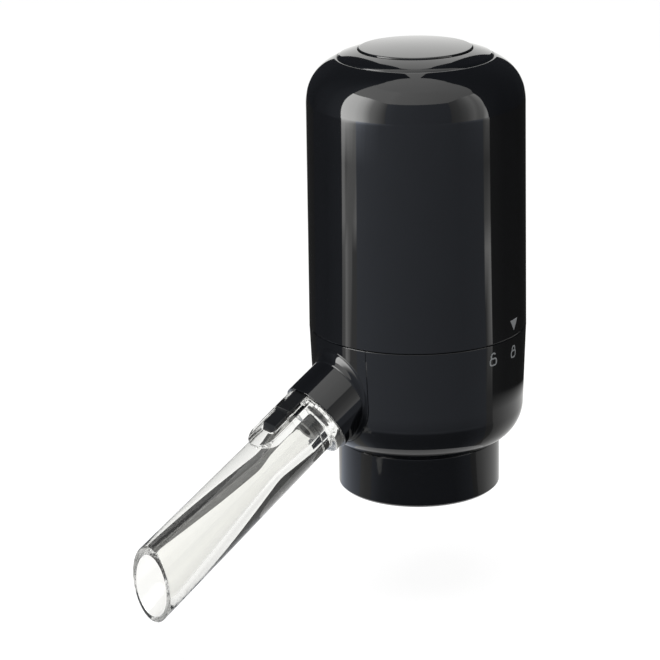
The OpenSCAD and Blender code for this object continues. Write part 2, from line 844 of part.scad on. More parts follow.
module pump_screws() color("#a9abad") {
  around(post_count, lobe_turn) translate([lobe_at, 0, motor_z])
    screw(small_screw_r, small_head_r, small_head_h, motor_z - plate_z - 2 * blind_floor);
}

module motor_can() color("#b8babd") {
  difference() {
    translate([0, 0, motor_z]) cylinder(r = motor_r, h = motor_len);
    translate([0, 0, motor_z + motor_wall]) cylinder(r = motor_r - motor_wall, h = motor_len);
    translate([0, 0, motor_z - past]) cylinder(r = shaft_r + shaft_fit, h = 2 * past + motor_wall);
  }
}

module motor_magnets() color("#4c4a48") {
  magnet_out = motor_r - motor_wall - seat;
  around(2) sector(magnet_out, magnet_out - magnet_t, core_z - past, core_z + core_h + past, 0, magnet_span);
}

module motor_end_cap() color("#2c2d30") {
  cap_z = motor_z + motor_len;
  difference() {
    union() {
      translate([0, 0, cap_z]) cylinder(r = motor_r - motor_wall, h = end_cap_h);
      around(2, 90) translate([motor_r - tab_inset, -tab_w / 2, cap_z])
        cube([tab_t, tab_w, end_cap_h + tab_h]);
      tube(motor_r - motor_wall - seat, motor_r - 2 * motor_wall - seat, cap_z - cap_spigot_h, cap_z);
    }
    translate([0, 0, cap_z - past]) cylinder(r = shaft_r + shaft_fit, h = end_cap_h + 2 * past);
  }
}

// Shaft with the three-pole core of the motor
module motor_armature() color("#8e6a4a") {
  shaft_z = eccentric_z + blind_floor;
  shaft_top = motor_z + motor_len + end_cap_h + shaft_end;
  translate([0, 0, shaft_z]) cylinder(r = shaft_r, h = shaft_top - shaft_z);
  difference() {
    translate([0, 0, core_z]) cylinder(r = core_r, h = core_h);
    around(pole_count) translate([core_r - pole_slot_depth, -pole_slot_w / 2, core_z - past])
      cube([core_r, pole_slot_w, core_h + 2 * past]);
    translate([0, 0, core_z - past]) cylinder(r = shaft_r - seat, h = core_h + 2 * past);
  }
}

// Puts children on the crank pin's axis, which leans from the pump's axis at the wobble plate's centre
module along_crank() {
  translate([0, 0, wobble_z]) rotate([0, wobble_tilt, 0]) children();
}

module eccentric() color("#c9cccf") {
  difference() {
    union() {
      translate([0, 0, eccentric_z]) cylinder(r = eccentric_r, h = eccentric_h);
      along_crank() translate([0, 0, crank_gap]) cylinder(r = crank_r, h = eccentric_z - wobble_z);
    }
    translate([0, 0, eccentric_z + blind_floor]) cylinder(r = shaft_r + press, h = eccentric_h);
  }
}

module wobble_plate() color("#d8d2c0") along_crank() {
  difference() {
    union() {
      translate([0, 0, -wobble_t / 2]) cylinder(r = wobble_r, h = wobble_t);
      cylinder(r = wobble_hub_r, h = wobble_hub_h);
    }
    translate([0, 0, blind_floor]) cylinder(r = crank_r + shaft_fit, h = wobble_hub_h);
    around(cup_count, 180 / cup_count) translate([wobble_r, 0, -wobble_t])
      cylinder(r = wobble_r / 3, h = 2 * wobble_t);
  }
}

// Cage that stands on the chassis plate and holds the cells round the motor
module battery_frame() color("#33353a") {
  top = frame_top_z + frame_plate_t;
  difference() {
    union() {
      frame_plate(frame_z);
      translate([0, 0, frame_top_z]) cylinder(r = frame_r, h = frame_plate_t);
      around(post_count, post_turn) translate([pillar_at - pillar_d / 2, -pillar_w / 2, plate_top])
        cube([pillar_d, pillar_w, frame_top_z - plate_top + seat]);
      around(lug_count, lug_turn) translate([standoff_at, 0, top]) cylinder(r = standoff_r, h = standoff_h);
    }
    around(post_count, post_turn) translate([pillar_at, 0, plate_top - past])
      cylinder(r = screw_r + shaft_fit, h = screw_bite + 2 * past);
    around(lug_count, lug_turn) translate([standoff_at, 0, top - standoff_hole])
      cylinder(r = small_screw_r + shaft_fit, h = standoff_h + standoff_hole + past);
    translate([0, 0, frame_top_z - past]) cylinder(r = motor_r + motor_room, h = frame_plate_t + 2 * past);
  }
}

// Lower plate of the cage, cut away round the pump and the casing's screw bosses
module frame_plate(z) {
  difference() {
    tube(frame_r, frame_hole_r, z, z + frame_plate_t);
    around(post_count, post_turn) {
      translate([casing_boss_at, 0, z - past])
        cylinder(r = casing_boss_r + run, h = frame_plate_t + 2 * past);
      translate([casing_boss_at, -boss_rib_t / 2 - run, z - past])
        cube([body_r, boss_rib_t + 2 * run, frame_plate_t + 2 * past]);
    }
  }
}

// Cell at one of the four places round the motor, every second one upside down
module battery_cell(index) color(index % 2 == 0 ? "#5b7a4a" : "#b08d3c") {
  rotate([0, 0, 360 / cell_count * index]) translate([cell_at, 0, cell_z + cell_len / 2])
    rotate([index % 2 == 0 ? 0 : 180, 0, 0]) translate([0, 0, -cell_len / 2]) {
      cylinder(r = cell_r, h = cell_len - nub_h);
      cylinder(r = nub_r, h = cell_len);
    }
}

module battery_springs() color("#c8c9c6") {
  around(cell_count) translate([cell_at, 0, frame_z + frame_plate_t])
    coil(spring_r, spring_top_r, spring_h, spring_turns, spring_wire);
}

module battery_contacts() color("#d1b06a") {
  around(cell_count) translate([cell_at, 0, contact_z]) cylinder(r = cell_r - contact_inset, h = contact_t);
}

module circuit_board() color("#2f6b3f") {
  difference() {
    translate([0, 0, board_z]) cylinder(r = board_r, h = board_t);
    around(lug_count, lug_turn) translate([standoff_at, 0, board_z - past])
      cylinder(r = small_screw_r + seat, h = board_t + 2 * past);
  }
}

module board_screws() color("#a9abad") {
  around(lug_count, lug_turn) translate([standoff_at, 0, board_top])
    screw(small_screw_r, small_head_r, small_head_h, board_t + standoff_h + standoff_hole - run);
}

module switch_body() color("#17181a") {
  difference() {
    translate([-switch_w / 2, -switch_w / 2, board_top]) cube([switch_w, switch_w, switch_h]);
    translate([0, 0, board_top + blind_floor]) cylinder(r = plunger_r + shaft_fit, h = switch_h);
  }
}

module switch_plunger() color("#e8e6e0") {
  translate([0, 0, plunger_z]) cylinder(r = plunger_r, h = plunger_top - plunger_z);
}

module button_spring() color("#c8c9c6") {
  translate([0, 0, board_top])
    coil(button_spring_r, button_spring_r, button_under_z - board_top, button_spring_turns,
         button_spring_wire);
}

module power_button() color("#202124") {
  dome_r = (button_r * button_r + button_dome * button_dome) / (2 * button_dome);
  rotate_extrude() {
    intersection() {
      translate([0, button_top_z - dome_r]) circle(dome_r, $fn = 720);
      translate([0, button_under_z]) square([button_r, button_cap_t + button_dome]);
    }
    translate([button_r - button_skirt, button_flange_z])
      square([button_skirt, button_under_z - button_flange_z + seat]);
    translate([button_r - button_skirt, button_flange_z])
      square([button_flange_r - button_r + button_skirt, button_flange_t]);
    translate([0, plunger_top]) square([button_stem_r, button_under_z - plunger_top + seat]);
  }
}

// Clear spout with its flange, keyed pad and upright mouth
module pour_spout() color("#e9eef0", 0.5) {
  difference() {
    along_spout() spout_outside();
    along_spout() spout_inside();
    translate([-body_d, -spout_reach - 2 * body_d, -2 * body_d]) cube([2 * body_d, 2 * body_d, 4 * body_d]);
  }
}

module spout_outside() {
  length = mouth_s + spout_past - spout_start;
  end_r = mouth_r + (mouth_r - spout_root_d / 2) * spout_past / (mouth_s - spout_start);
  translate([0, 0, spout_start]) cylinder(r1 = spout_root_d / 2, r2 = end_r, h = length);
  translate([0, 0, spout_start]) cylinder(r = spout_flange_d / 2, h = spout_flange_t);
  pad_end = port_end + pad_len - pad_half_w;
  rotate([-90, 0, 0]) linear_extrude(pad_top) {
    translate([0, -pad_end]) circle(pad_half_w);
    translate([-pad_half_w, -pad_end]) square([2 * pad_half_w, pad_end - spout_start]);
  }
}

module spout_inside() {
  end = mouth_s + spout_past + past;
  floor_y = tongue_top - tongue_t - key_room;
  half = tongue_w / 2 + key_room;
  translate([0, 0, spout_start - past])
    cylinder(r = spout_socket_r, h = spout_socket_end - spout_start + past);
  translate([0, 0, spout_socket_end])
    cylinder(r1 = spout_socket_r - seat, r2 = throat_r, h = throat_s - spout_socket_end);
  translate([0, 0, throat_s]) cylinder(r1 = throat_r, r2 = mouth_r - spout_wall, h = end - throat_s);
  translate([-half, floor_y, spout_start - past])
    cube([2 * half, spout_flange_d, port_end + tongue_len + 2 * key_room - spout_start + past]);
}

lower_housing();
spout_block();
spout_nozzle();
nozzle_o_ring();
bottle_collar();
mouth_gasket();
tube_socket();
duct_body();
duct_lid();
air_valve();
duct_screws();
upper_casing();
crown_ring();
head_chassis();
air_nozzle_o_ring();
chassis_screws();
pump_cover();
pump_diaphragm();
pump_body();
pump_screws();
motor_can();
motor_magnets();
motor_end_cap();
motor_armature();
eccentric();
wobble_plate();
battery_frame();
frame_screws();
for (i = [0:cell_count - 1])
  battery_cell(i);
battery_springs();
battery_contacts();
circuit_board();
board_screws();
switch_body();
button_spring();
switch_plunger();
power_button();
pour_spout();
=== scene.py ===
"""Electric wine aerator in a light tent: glossy black body, clear pouring spout, white ground."""

import math

import bmesh
import bpy
from mathutils import Matrix, Vector


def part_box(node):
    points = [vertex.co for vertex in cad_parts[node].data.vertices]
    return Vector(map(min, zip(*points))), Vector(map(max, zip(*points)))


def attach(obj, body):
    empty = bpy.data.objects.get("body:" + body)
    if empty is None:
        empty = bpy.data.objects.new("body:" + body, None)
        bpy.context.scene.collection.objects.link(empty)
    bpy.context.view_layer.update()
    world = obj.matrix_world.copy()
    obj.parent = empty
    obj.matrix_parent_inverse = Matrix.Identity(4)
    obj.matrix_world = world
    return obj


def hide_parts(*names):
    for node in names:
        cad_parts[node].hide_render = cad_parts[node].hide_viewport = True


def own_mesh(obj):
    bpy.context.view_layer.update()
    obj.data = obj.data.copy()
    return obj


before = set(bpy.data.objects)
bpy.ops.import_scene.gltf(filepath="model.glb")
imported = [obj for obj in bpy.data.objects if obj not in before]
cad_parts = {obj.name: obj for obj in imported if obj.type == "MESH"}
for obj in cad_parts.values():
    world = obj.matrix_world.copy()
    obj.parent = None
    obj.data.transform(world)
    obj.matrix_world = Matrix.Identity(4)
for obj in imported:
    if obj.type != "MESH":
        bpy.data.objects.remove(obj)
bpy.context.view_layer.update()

MM = 0.001
SCENE = bpy.context.scene
SCENE.view_settings.view_transform = "Standard"
# light that is led along the wall of the clear spout turns many times before it leaves
SCENE.cycles.max_bounces = 32
SCENE.cycles.glossy_bounces = 32
SCENE.cycles.transmission_bounces = 32

# Camera: a long lens to the right of the spout, looking down on the shoulder.
CAMERA_TURN = math.radians(51.556)
CAMERA_PITCH = math.radians(17.731)
CAMERA_YAW = math.radians(-2.027)
CAMERA_ROLL = math.radians(-1.137)
CAMERA_DISTANCE = 721.85 * MM
AIM_HEIGHT = 44.333 * MM
LENS_MM = 142.025


def place_camera():
    """Stands the camera where the photograph was taken from."""
    forward = Vector((
        math.sin(CAMERA_YAW) * math.cos(CAMERA_PITCH),
        math.cos(CAMERA_YAW) * math.cos(CAMERA_PITCH),
        -math.sin(CAMERA_PITCH),
    ))
    level_right = Vector((math.cos(CAMERA_YAW), -math.sin(CAMERA_YAW), 0))
    level_up = level_right.cross(forward)
    right = math.cos(CAMERA_ROLL) * level_right + math.sin(CAMERA_ROLL) * level_up
    up = right.cross(forward)
    stance = Matrix((right, up, -forward)).transposed().to_4x4()
    stance.translation = Vector((
        0,
        -CAMERA_DISTANCE * math.cos(CAMERA_PITCH),
        AIM_HEIGHT + CAMERA_DISTANCE * math.sin(CAMERA_PITCH),
    ))
    lens = bpy.data.cameras.new("lens")
    lens.lens = LENS_MM
    lens.sensor_width = 36
    lens.clip_start = 0.05
    lens.clip_end = 20
    camera = bpy.data.objects.new("camera", lens)
    SCENE.collection.objects.link(camera)
    camera.matrix_world = Matrix.Rotation(CAMERA_TURN, 4, "Z") @ stance
    SCENE.camera = camera


def colour(hex_value):
    """Linear RGBA of an sRGB hex value."""
    linear = []
    for start in (1, 3, 5):
        level = int(hex_value[start:start + 2], 16) / 255
        linear.append(level / 12.92 if level <= 0.04045 else ((level + 0.055) / 1.055) ** 2.4)
    return (*linear, 1.0)


def add(tree, kind, inputs=None, stops=(), **fields):
    """Adds a node, sets its fields and the stops of its ramp, and sets or links its inputs."""
    made = tree.nodes.new(kind)
    for name, value in fields.items():
        setattr(made, name, value)
    for i, (start, tone) in enumerate(stops):
        edges = made.color_ramp.elements
        edge = edges[i] if i < len(edges) else edges.new(start)
        edge.position = start
        edge.color = colour(tone)
    for name, value in (inputs or {}).items():
        if isinstance(value, bpy.types.NodeSocket):
            tree.links.new(value, made.inputs[name])
        else:
            made.inputs[name].default_value = value
    return made


def per_mm(size_mm):
    """Scale of a pattern whose features are this many millimetres apart."""
    return 1 / (size_mm * MM)


def new_material(name):
    """An empty node material and its tree."""
    made = bpy.data.materials.new(name)
    made.use_nodes = True
    made.node_tree.nodes.clear()
    return made, made.node_tree


def polished_abs():
    """Moulded black ABS from a polished tool: a deep mirror with a faint waviness and softened edges."""
    made, tree = new_material("polished_black_ABS")
    place = add(tree, "ShaderNodeTexCoord").outputs["Object"]
    haze = add(tree, "ShaderNodeTexNoise", {"Vector": place, "Scale": per_mm(9), "Detail": 4})
    rough = add(tree, "ShaderNodeMapRange", {"Value": haze.outputs["Fac"], "To Min": 0.02, "To Max": 0.05})
    tone = add(
        tree, "ShaderNodeValToRGB", {"Fac": haze.outputs["Fac"]}, stops=((0, "#08090b"), (1, "#0d0e11")))
    edge = add(tree, "ShaderNodeBevel", {"Radius": 0.3 * MM}, samples=8)
    waves = add(tree, "ShaderNodeTexNoise", {"Vector": place, "Scale": per_mm(14), "Detail": 1})
    skin = add(tree, "ShaderNodeBump", {
        "Strength": 0.2, "Distance": 0.02 * MM, "Height": waves.outputs["Fac"], "Normal": edge.outputs[0],
    })
    shader = add(tree, "ShaderNodeBsdfPrincipled", {
        "Base Color": tone.outputs["Color"], "Roughness": rough.outputs["Result"], "IOR": 1.5,
        "Normal": skin.outputs["Normal"],
    })
    add(tree, "ShaderNodeOutputMaterial", {"Surface": shader.outputs[0]})
    return made


def satin_abs():
    """Moulded black ABS from a spark-eroded tool: a soft sheen over a fine grit."""
    made, tree = new_material("satin_black_ABS")
    place = add(tree, "ShaderNodeTexCoord").outputs["Object"]
    grit = add(tree, "ShaderNodeTexNoise", {"Vector": place, "Scale": per_mm(0.3), "Detail": 3})
    cloud = add(tree, "ShaderNodeTexNoise", {"Vector": place, "Scale": per_mm(6), "Detail": 3})
    tone = add(
        tree, "ShaderNodeValToRGB", {"Fac": cloud.outputs["Fac"]}, stops=((0, "#08090a"), (1, "#101113")))
    rough = add(tree, "ShaderNodeMapRange", {"Value": cloud.outputs["Fac"], "To Min": 0.24, "To Max": 0.34})
    edge = add(tree, "ShaderNodeBevel", {"Radius": 0.25 * MM}, samples=8)
    skin = add(tree, "ShaderNodeBump", {
        "Strength": 0.35, "Distance": 0.02 * MM, "Height": grit.outputs["Fac"], "Normal": edge.outputs[0],
    })
    shader = add(tree, "ShaderNodeBsdfPrincipled", {
        "Base Color": tone.outputs["Color"], "Roughness": rough.outputs["Result"], "IOR": 1.5,
        "Normal": skin.outputs["Normal"],
    })
    add(tree, "ShaderNodeOutputMaterial", {"Surface": shader.outputs[0]})
    return made


def clear_san():
    """Moulded clear styrene-acrylonitrile: water-clear, with faint flow lines in its skin."""
    made, tree = new_material("clear_SAN")
    place = add(tree, "ShaderNodeTexCoord").outputs["Object"]
    flow = add(tree, "ShaderNodeTexNoise", {"Vector": place, "Scale": per_mm(9), "Detail": 1})
    skin = add(tree, "ShaderNodeBump", {
        "Strength": 0.12, "Distance": 0.02 * MM, "Height": flow.outputs["Fac"],
    })
    rough = add(tree, "ShaderNodeMapRange", {"Value": flow.outputs["Fac"], "To Min": 0.0, "To Max": 0.015})
    shader = add(tree, "ShaderNodeBsdfPrincipled", {
        "Base Color": colour("#f5f5f2"), "Roughness": rough.outputs["Result"], "IOR": 1.53,
        "Transmission Weight": 1.0, "Normal": skin.outputs["Normal"],
    })
    add(tree, "ShaderNodeOutputMaterial", {"Surface": shader.outputs[0]})
    return made


def grained(name, dark, light, rough_low, rough_high, grain_mm, depth_mm, metallic=0.0, drawn=(1, 1, 1)):
    """A finish of two close tones in clouds, with a grain that carries its bump and gloss."""
    made, tree = new_material(name)
    place = add(tree, "ShaderNodeTexCoord").outputs["Object"]
    along = add(tree, "ShaderNodeMapping", {"Vector": place, "Scale": drawn}).outputs["Vector"]
    grain = add(tree, "ShaderNodeTexNoise", {"Vector": along, "Scale": per_mm(grain_mm), "Detail": 4})
    cloud = add(tree, "ShaderNodeTexNoise", {"Vector": along, "Scale": per_mm(grain_mm * 8), "Detail": 3})
    tone = add(tree, "ShaderNodeValToRGB", {"Fac": cloud.outputs["Fac"]}, stops=((0, dark), (1, light)))
    rough = add(tree, "ShaderNodeMapRange", {
        "Value": grain.outputs["Fac"], "To Min": rough_low, "To Max": rough_high,
    })
    skin = add(tree, "ShaderNodeBump", {
        "Strength": 0.5, "Distance": depth_mm * MM, "Height": grain.outputs["Fac"],
    })
    shader = add(tree, "ShaderNodeBsdfPrincipled", {
        "Base Color": tone.outputs["Color"], "Roughness": rough.outputs["Result"], "Metallic": metallic,
        "Normal": skin.outputs["Normal"],
    })
    add(tree, "ShaderNodeOutputMaterial", {"Surface": shader.outputs[0]})
    return made


def cell_wrap(name, sleeve, band, upright):
    """PVC sleeve on a steel cell: two plain colours between bare steel ends, with a faint shrink ripple."""
    made, tree = new_material(name)
    place = add(tree, "ShaderNodeTexCoord").outputs["Object"]
    height = add(tree, "ShaderNodeSeparateXYZ", {"Vector": place}).outputs["Z"]
    share = add(tree, "ShaderNodeMapRange", {"Value": height, "From Min": CELL_FOOT, "From Max": CELL_HEAD})
    steel = "#b9bbbd"
    # each band starts at a share of the cell's height and runs to the next
    bands = ((0.0, steel), (0.03, band), (0.24, sleeve), (0.955, steel))
    if upright:
        bands = ((0.0, steel), (0.045, sleeve), (0.76, band), (0.97, steel))
    tone = add(tree, "ShaderNodeValToRGB", {"Fac": share.outputs["Result"]}, stops=bands)
    tone.color_ramp.interpolation = "CONSTANT"
    ripple = add(tree, "ShaderNodeTexNoise", {"Vector": place, "Scale": per_mm(3), "Detail": 2})
    skin = add(tree, "ShaderNodeBump", {
        "Strength": 0.3, "Distance": 0.03 * MM, "Height": ripple.outputs["Fac"],
    })
    rough = add(tree, "ShaderNodeMapRange", {"Value": ripple.outputs["Fac"], "To Min": 0.18, "To Max": 0.3})
    shader = add(tree, "ShaderNodeBsdfPrincipled", {
        "Base Color": tone.outputs["Color"], "Roughness": rough.outputs["Result"], "IOR": 1.53,
        "Normal": skin.outputs["Normal"],
    })
    add(tree, "ShaderNodeOutputMaterial", {"Surface": shader.outputs[0]})
    return made


def laminated_armature():
    """Stacked steel sheets wound with enamelled copper: fine steps up the stack, copper in the clouds."""
    made, tree = new_material("laminated_steel_and_copper")
    place = add(tree, "ShaderNodeTexCoord").outputs["Object"]
    # sheets are 0.5 mm thick, drawn at 0.8 mm so that they show; this texture has about pi bands to its scale
    sheets = add(
        tree, "ShaderNodeTexWave", {"Vector": place, "Scale": per_mm(0.8 * math.pi)},
        wave_type="BANDS", bands_direction="Z")
    turns = add(tree, "ShaderNodeTexNoise", {"Vector": place, "Scale": per_mm(4), "Detail": 2})
    tone = add(
        tree, "ShaderNodeValToRGB", {"Fac": turns.outputs["Fac"]}, stops=((0, "#8d6a4c"), (1, "#a7a5a2")))
    skin = add(tree, "ShaderNodeBump", {
        "Strength": 0.6, "Distance": 0.05 * MM, "Height": sheets.outputs["Fac"],
    })
    rough = add(tree, "ShaderNodeMapRange", {"Value": sheets.outputs["Fac"], "To Min": 0.3, "To Max": 0.45})
    shader = add(tree, "ShaderNodeBsdfPrincipled", {
        "Base Color": tone.outputs["Color"], "Metallic": 1.0, "Roughness": rough.outputs["Result"],
        "Normal": skin.outputs["Normal"],
    })
    add(tree, "ShaderNodeOutputMaterial", {"Surface": shader.outputs[0]})
    return made


def circuit_laminate():
    """Glass-epoxy board under green resist: darker where copper tracks run beneath it."""
    made, tree = new_material("green_resist_on_FR4")
    place = add(tree, "ShaderNodeTexCoord").outputs["Object"]
    tracks = add(tree, "ShaderNodeTexBrick", {
        "Vector": place, "Scale": per_mm(9), "Mortar Size": 0.03, "Color1": colour("#1f5a33"),
        "Color2": colour("#246439"), "Mortar": colour("#2f7a45"),
    })
    weave = add(tree, "ShaderNodeTexChecker", {"Vector": place, "Scale": per_mm(0.5)})
    skin = add(tree, "ShaderNodeBump", {
        "Strength": 0.2, "Distance": 0.02 * MM, "Height": weave.outputs["Fac"],
    })
    rough = add(tree, "ShaderNodeMapRange", {"Value": weave.outputs["Fac"], "To Min": 0.3, "To Max": 0.38})
    shader = add(tree, "ShaderNodeBsdfPrincipled", {
        "Base Color": tracks.outputs["Color"], "Roughness": rough.outputs["Result"],
        "Normal": skin.outputs["Normal"],
    })
    add(tree, "ShaderNodeOutputMaterial", {"Surface": shader.outputs[0]})
    return made


def pale_ink():
    """Pad-printed pale grey ink: matt, a little thinner in places."""
    made, tree = new_material("pad_printed_grey_ink")
    place = add(tree, "ShaderNodeTexCoord").outputs["Object"]
    cover = add(tree, "ShaderNodeTexNoise", {"Vector": place, "Scale": per_mm(0.5), "Detail": 3})
    tone = add(
        tree, "ShaderNodeValToRGB", {"Fac": cover.outputs["Fac"]}, stops=((0, "#8f9294"), (1, "#a3a6a8")))
    rough = add(tree, "ShaderNodeMapRange", {"Value": cover.outputs["Fac"], "To Min": 0.45, "To Max": 0.6})
    shader = add(tree, "ShaderNodeBsdfPrincipled", {
        "Base Color": tone.outputs["Color"], "Roughness": rough.outputs["Result"],
    })
    add(tree, "ShaderNodeOutputMaterial", {"Surface": shader.outputs[0]})
    return made


CELL_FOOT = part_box("battery_cell_1")[0].z
CELL_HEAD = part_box("battery_cell_1")[1].z
GLOSS = polished_abs()
SATIN = satin_abs()
CLEAR = clear_san()
INK = pale_ink()
# Each grained finish: two tones, lowest and highest roughness, width and depth of its grain in millimetres,
# whether it is metal, and how its grain is drawn out along each axis.

# moulded rubber: a dull black skin
RUBBER = grained("nitrile_rubber", "#161618", "#202022", 0.5, 0.65, 0.4, 0.02)
# moulded silicone: milky, with a soft sheen
SILICONE = grained("milky_silicone", "#c9c9c4", "#d6d6d2", 0.35, 0.5, 0.8, 0.02)
# moulded acetal: waxy white
ACETAL = grained("natural_acetal", "#d3d3cc", "#e0e0da", 0.3, 0.45, 0.6, 0.01)
# moulded ABS without dye: ivory
ABS_NATURAL = grained("natural_ABS", "#cfcabb", "#dbd7ca", 0.35, 0.5, 0.5, 0.015)
# plated screws: bright grey with a fine bloom
STEEL = grained("zinc_plated_steel", "#a3a6aa", "#c0c3c6", 0.22, 0.36, 0.3, 0.005, 1.0)
# drawn can: fine marks run up the wall
DRAWN_STEEL = grained("deep_drawn_steel", "#a9abad", "#bec0c2", 0.2, 0.34, 0.25, 0.005, 1.0, (1, 1, 0.08))
# plated wire: the brightest of the metals
SPRING_WIRE = grained("nickel_plated_spring_wire", "#b3b2ad", "#cbc9c3", 0.16, 0.28, 0.2, 0.003, 1.0)
# pressed and fired ferrite: dull charcoal
FERRITE = grained("pressed_ferrite", "#38363a", "#444246", 0.55, 0.7, 0.25, 0.03)
# stamped contacts: pale yellow metal
BRASS = grained("nickel_plated_brass", "#c2a663", "#d6bd7d", 0.2, 0.33, 0.3, 0.004, 1.0)

NODE_FINISH = {
    GLOSS: ("lower_housing", "spout_block", "bottle_collar", "upper_casing", "crown_ring", "power_button"),
    SATIN: ("spout_nozzle", "head_chassis", "motor_end_cap", "battery_frame", "switch_body"),
    RUBBER: ("nozzle_o_ring", "air_nozzle_o_ring", "pump_diaphragm"),
    SILICONE: ("mouth_gasket", "tube_socket", "air_valve"),
    ACETAL: ("pump_cover", "pump_body", "eccentric", "wobble_plate", "switch_plunger"),
    ABS_NATURAL: ("duct_body", "duct_lid"),
    STEEL: ("duct_screws", "chassis_screws", "pump_screws", "frame_screws", "board_screws"),
    DRAWN_STEEL: ("motor_can",),
    SPRING_WIRE: ("battery_springs", "button_spring"),
    FERRITE: ("motor_magnets",),
    BRASS: ("battery_contacts",),
    CLEAR: ("pour_spout",),
    laminated_armature(): ("motor_armature",),
    circuit_laminate(): ("circuit_board",),
    cell_wrap("PVC_cell_wrap_up", "#3f5f2f", "#b08d3c", True): ("battery_cell_1", "battery_cell_3"),
    cell_wrap("PVC_cell_wrap_down", "#3f5f2f", "#b08d3c", False): ("battery_cell_2", "battery_cell_4"),
}


def dress_nodes():
    """Gives each carried-over node its finish."""
    for finish, names in NODE_FINISH.items():
        for name in names:
            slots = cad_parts[name].data.materials
            slots.clear()
            slots.append(finish)


# Body: its radius at the seam, and how far the wall draws in for each millimetre above and below the seam.
BODY_R = 30.0
SEAM_Z = 46.6
HEAD_TAPER = 0.3 / 63.7
HOUSING_TAPER = 0.85 / 22.3


def wall_radius(z):
    """Radius of the body's tapering wall at a height, in millimetres."""
    if z > SEAM_Z:
        return BODY_R - HEAD_TAPER * (z - SEAM_Z)
    return BODY_R - HOUSING_TAPER * (SEAM_Z - z)


# Spout: sizes of the solid that it stands for, in millimetres, along and across its slanting axis.
SPOUT_TILT = math.radians(31.8)
SPOUT_AXIS_Z = 48.3
PORT_R = 10.65
PORT_LENGTH = 6.4
PORT_END = BODY_R / math.cos(SPOUT_TILT) + PORT_LENGTH
SPOUT_START = PORT_END + 0.1
FLANGE_R = 10.0
FLANGE_END = SPOUT_START + 2.7
ROOT_R = 8.05
MOUTH_S = PORT_END + 64.8
MOUTH_R = 8.9
MOUTH_REACH = MOUTH_S * math.cos(SPOUT_TILT)
WALL_END_S = MOUTH_S + MOUTH_R * math.tan(SPOUT_TILT) + 2
BORE_END_R = MOUTH_R - 1
THROAT_S = PORT_END + 19.8
THROAT_R = 3.0
# the bore rounds into its throat over this length
THROAT_BLEND = 2
SOCKET_END = PORT_END + 7.8
SOCKET_R = 4.0
PAD_FOOT = 5
PAD_TOP = 8.9
PAD_HALF = 5.2
PAD_END = PORT_END + 19.8
SLOT_HALF = 2.9
SLOT_CORNER = 1.4
SLOT_FLOOR = 7.8
# the tool that cuts the slot starts before the flange and stands above the pad
SLOT_START = SPOUT_START - 2
SLOT_HEAD = 14
SLOT_END = PORT_END + 14.3
EDGE = 0.4
LIP = 0.45
ROUND = 128


def on_spout(across, up, along):
    """A point by its place across, above and along the spout's axis, in millimetres."""
    return Vector((
        across,
        -along * math.cos(SPOUT_TILT) - up * math.sin(SPOUT_TILT),
        SPOUT_AXIS_Z - along * math.sin(SPOUT_TILT) + up * math.cos(SPOUT_TILT),
    )) * MM


def round_spout(radius, turn, along):
    """A point by its radius and its turn about the spout's axis, and its place along it, in millimetres."""
    return on_spout(radius * math.cos(turn), radius * math.sin(turn), along)


def join_loops(mesh, loops, capped=True):
    """Faces from each closed loop of corners to the next, and over the first and the last loop."""
    for one, two in zip(loops, loops[1:]):
        for k in range(len(one)):
            after = (k + 1) % len(one)
            # a loop on an axis is one corner many times, so that its faces have three corners
            mesh.faces.new(dict.fromkeys((one[k], one[after], two[after], two[k])))
    if capped:
        mesh.faces.new(loops[0])
        mesh.faces.new(loops[-1])


def link_piece(name, mesh, finish):
    """Turns a bmesh into an object of the scene with one finish."""
    bmesh.ops.recalc_face_normals(mesh, faces=mesh.faces)
    data = bpy.data.meshes.new(name)
    mesh.to_mesh(data)
    mesh.free()
    data.materials.append(finish)
    made = bpy.data.objects.new(name, data)
    SCENE.collection.objects.link(made)
    return made


def smooth(piece, sharp_degrees=34):
    """Shades a piece smooth, except across edges sharper than an angle."""
    piece.data.shade_smooth()
    piece.data.set_sharp_from_angle(angle=math.radians(sharp_degrees))


def rounded_corner(before, corner, after, count=5):
    """Points that turn a corner in a soft curve."""
    points = []
    for i in range(count + 1):
        t = i / count
        points.append(before * (1 - t) ** 2 + corner * 2 * t * (1 - t) + after * t ** 2)
    return points


def along_cone(start_r, start_s, slope, turn):
    """Radius and place along the axis where a cone's line at this turn meets the mouth's upright plane."""
    lean = math.sin(turn) * math.sin(SPOUT_TILT)
    along = (MOUTH_REACH - (start_r - slope * start_s) * lean) / (math.cos(SPOUT_TILT) + slope * lean)
    return Vector((start_r + slope * (along - start_s), along))


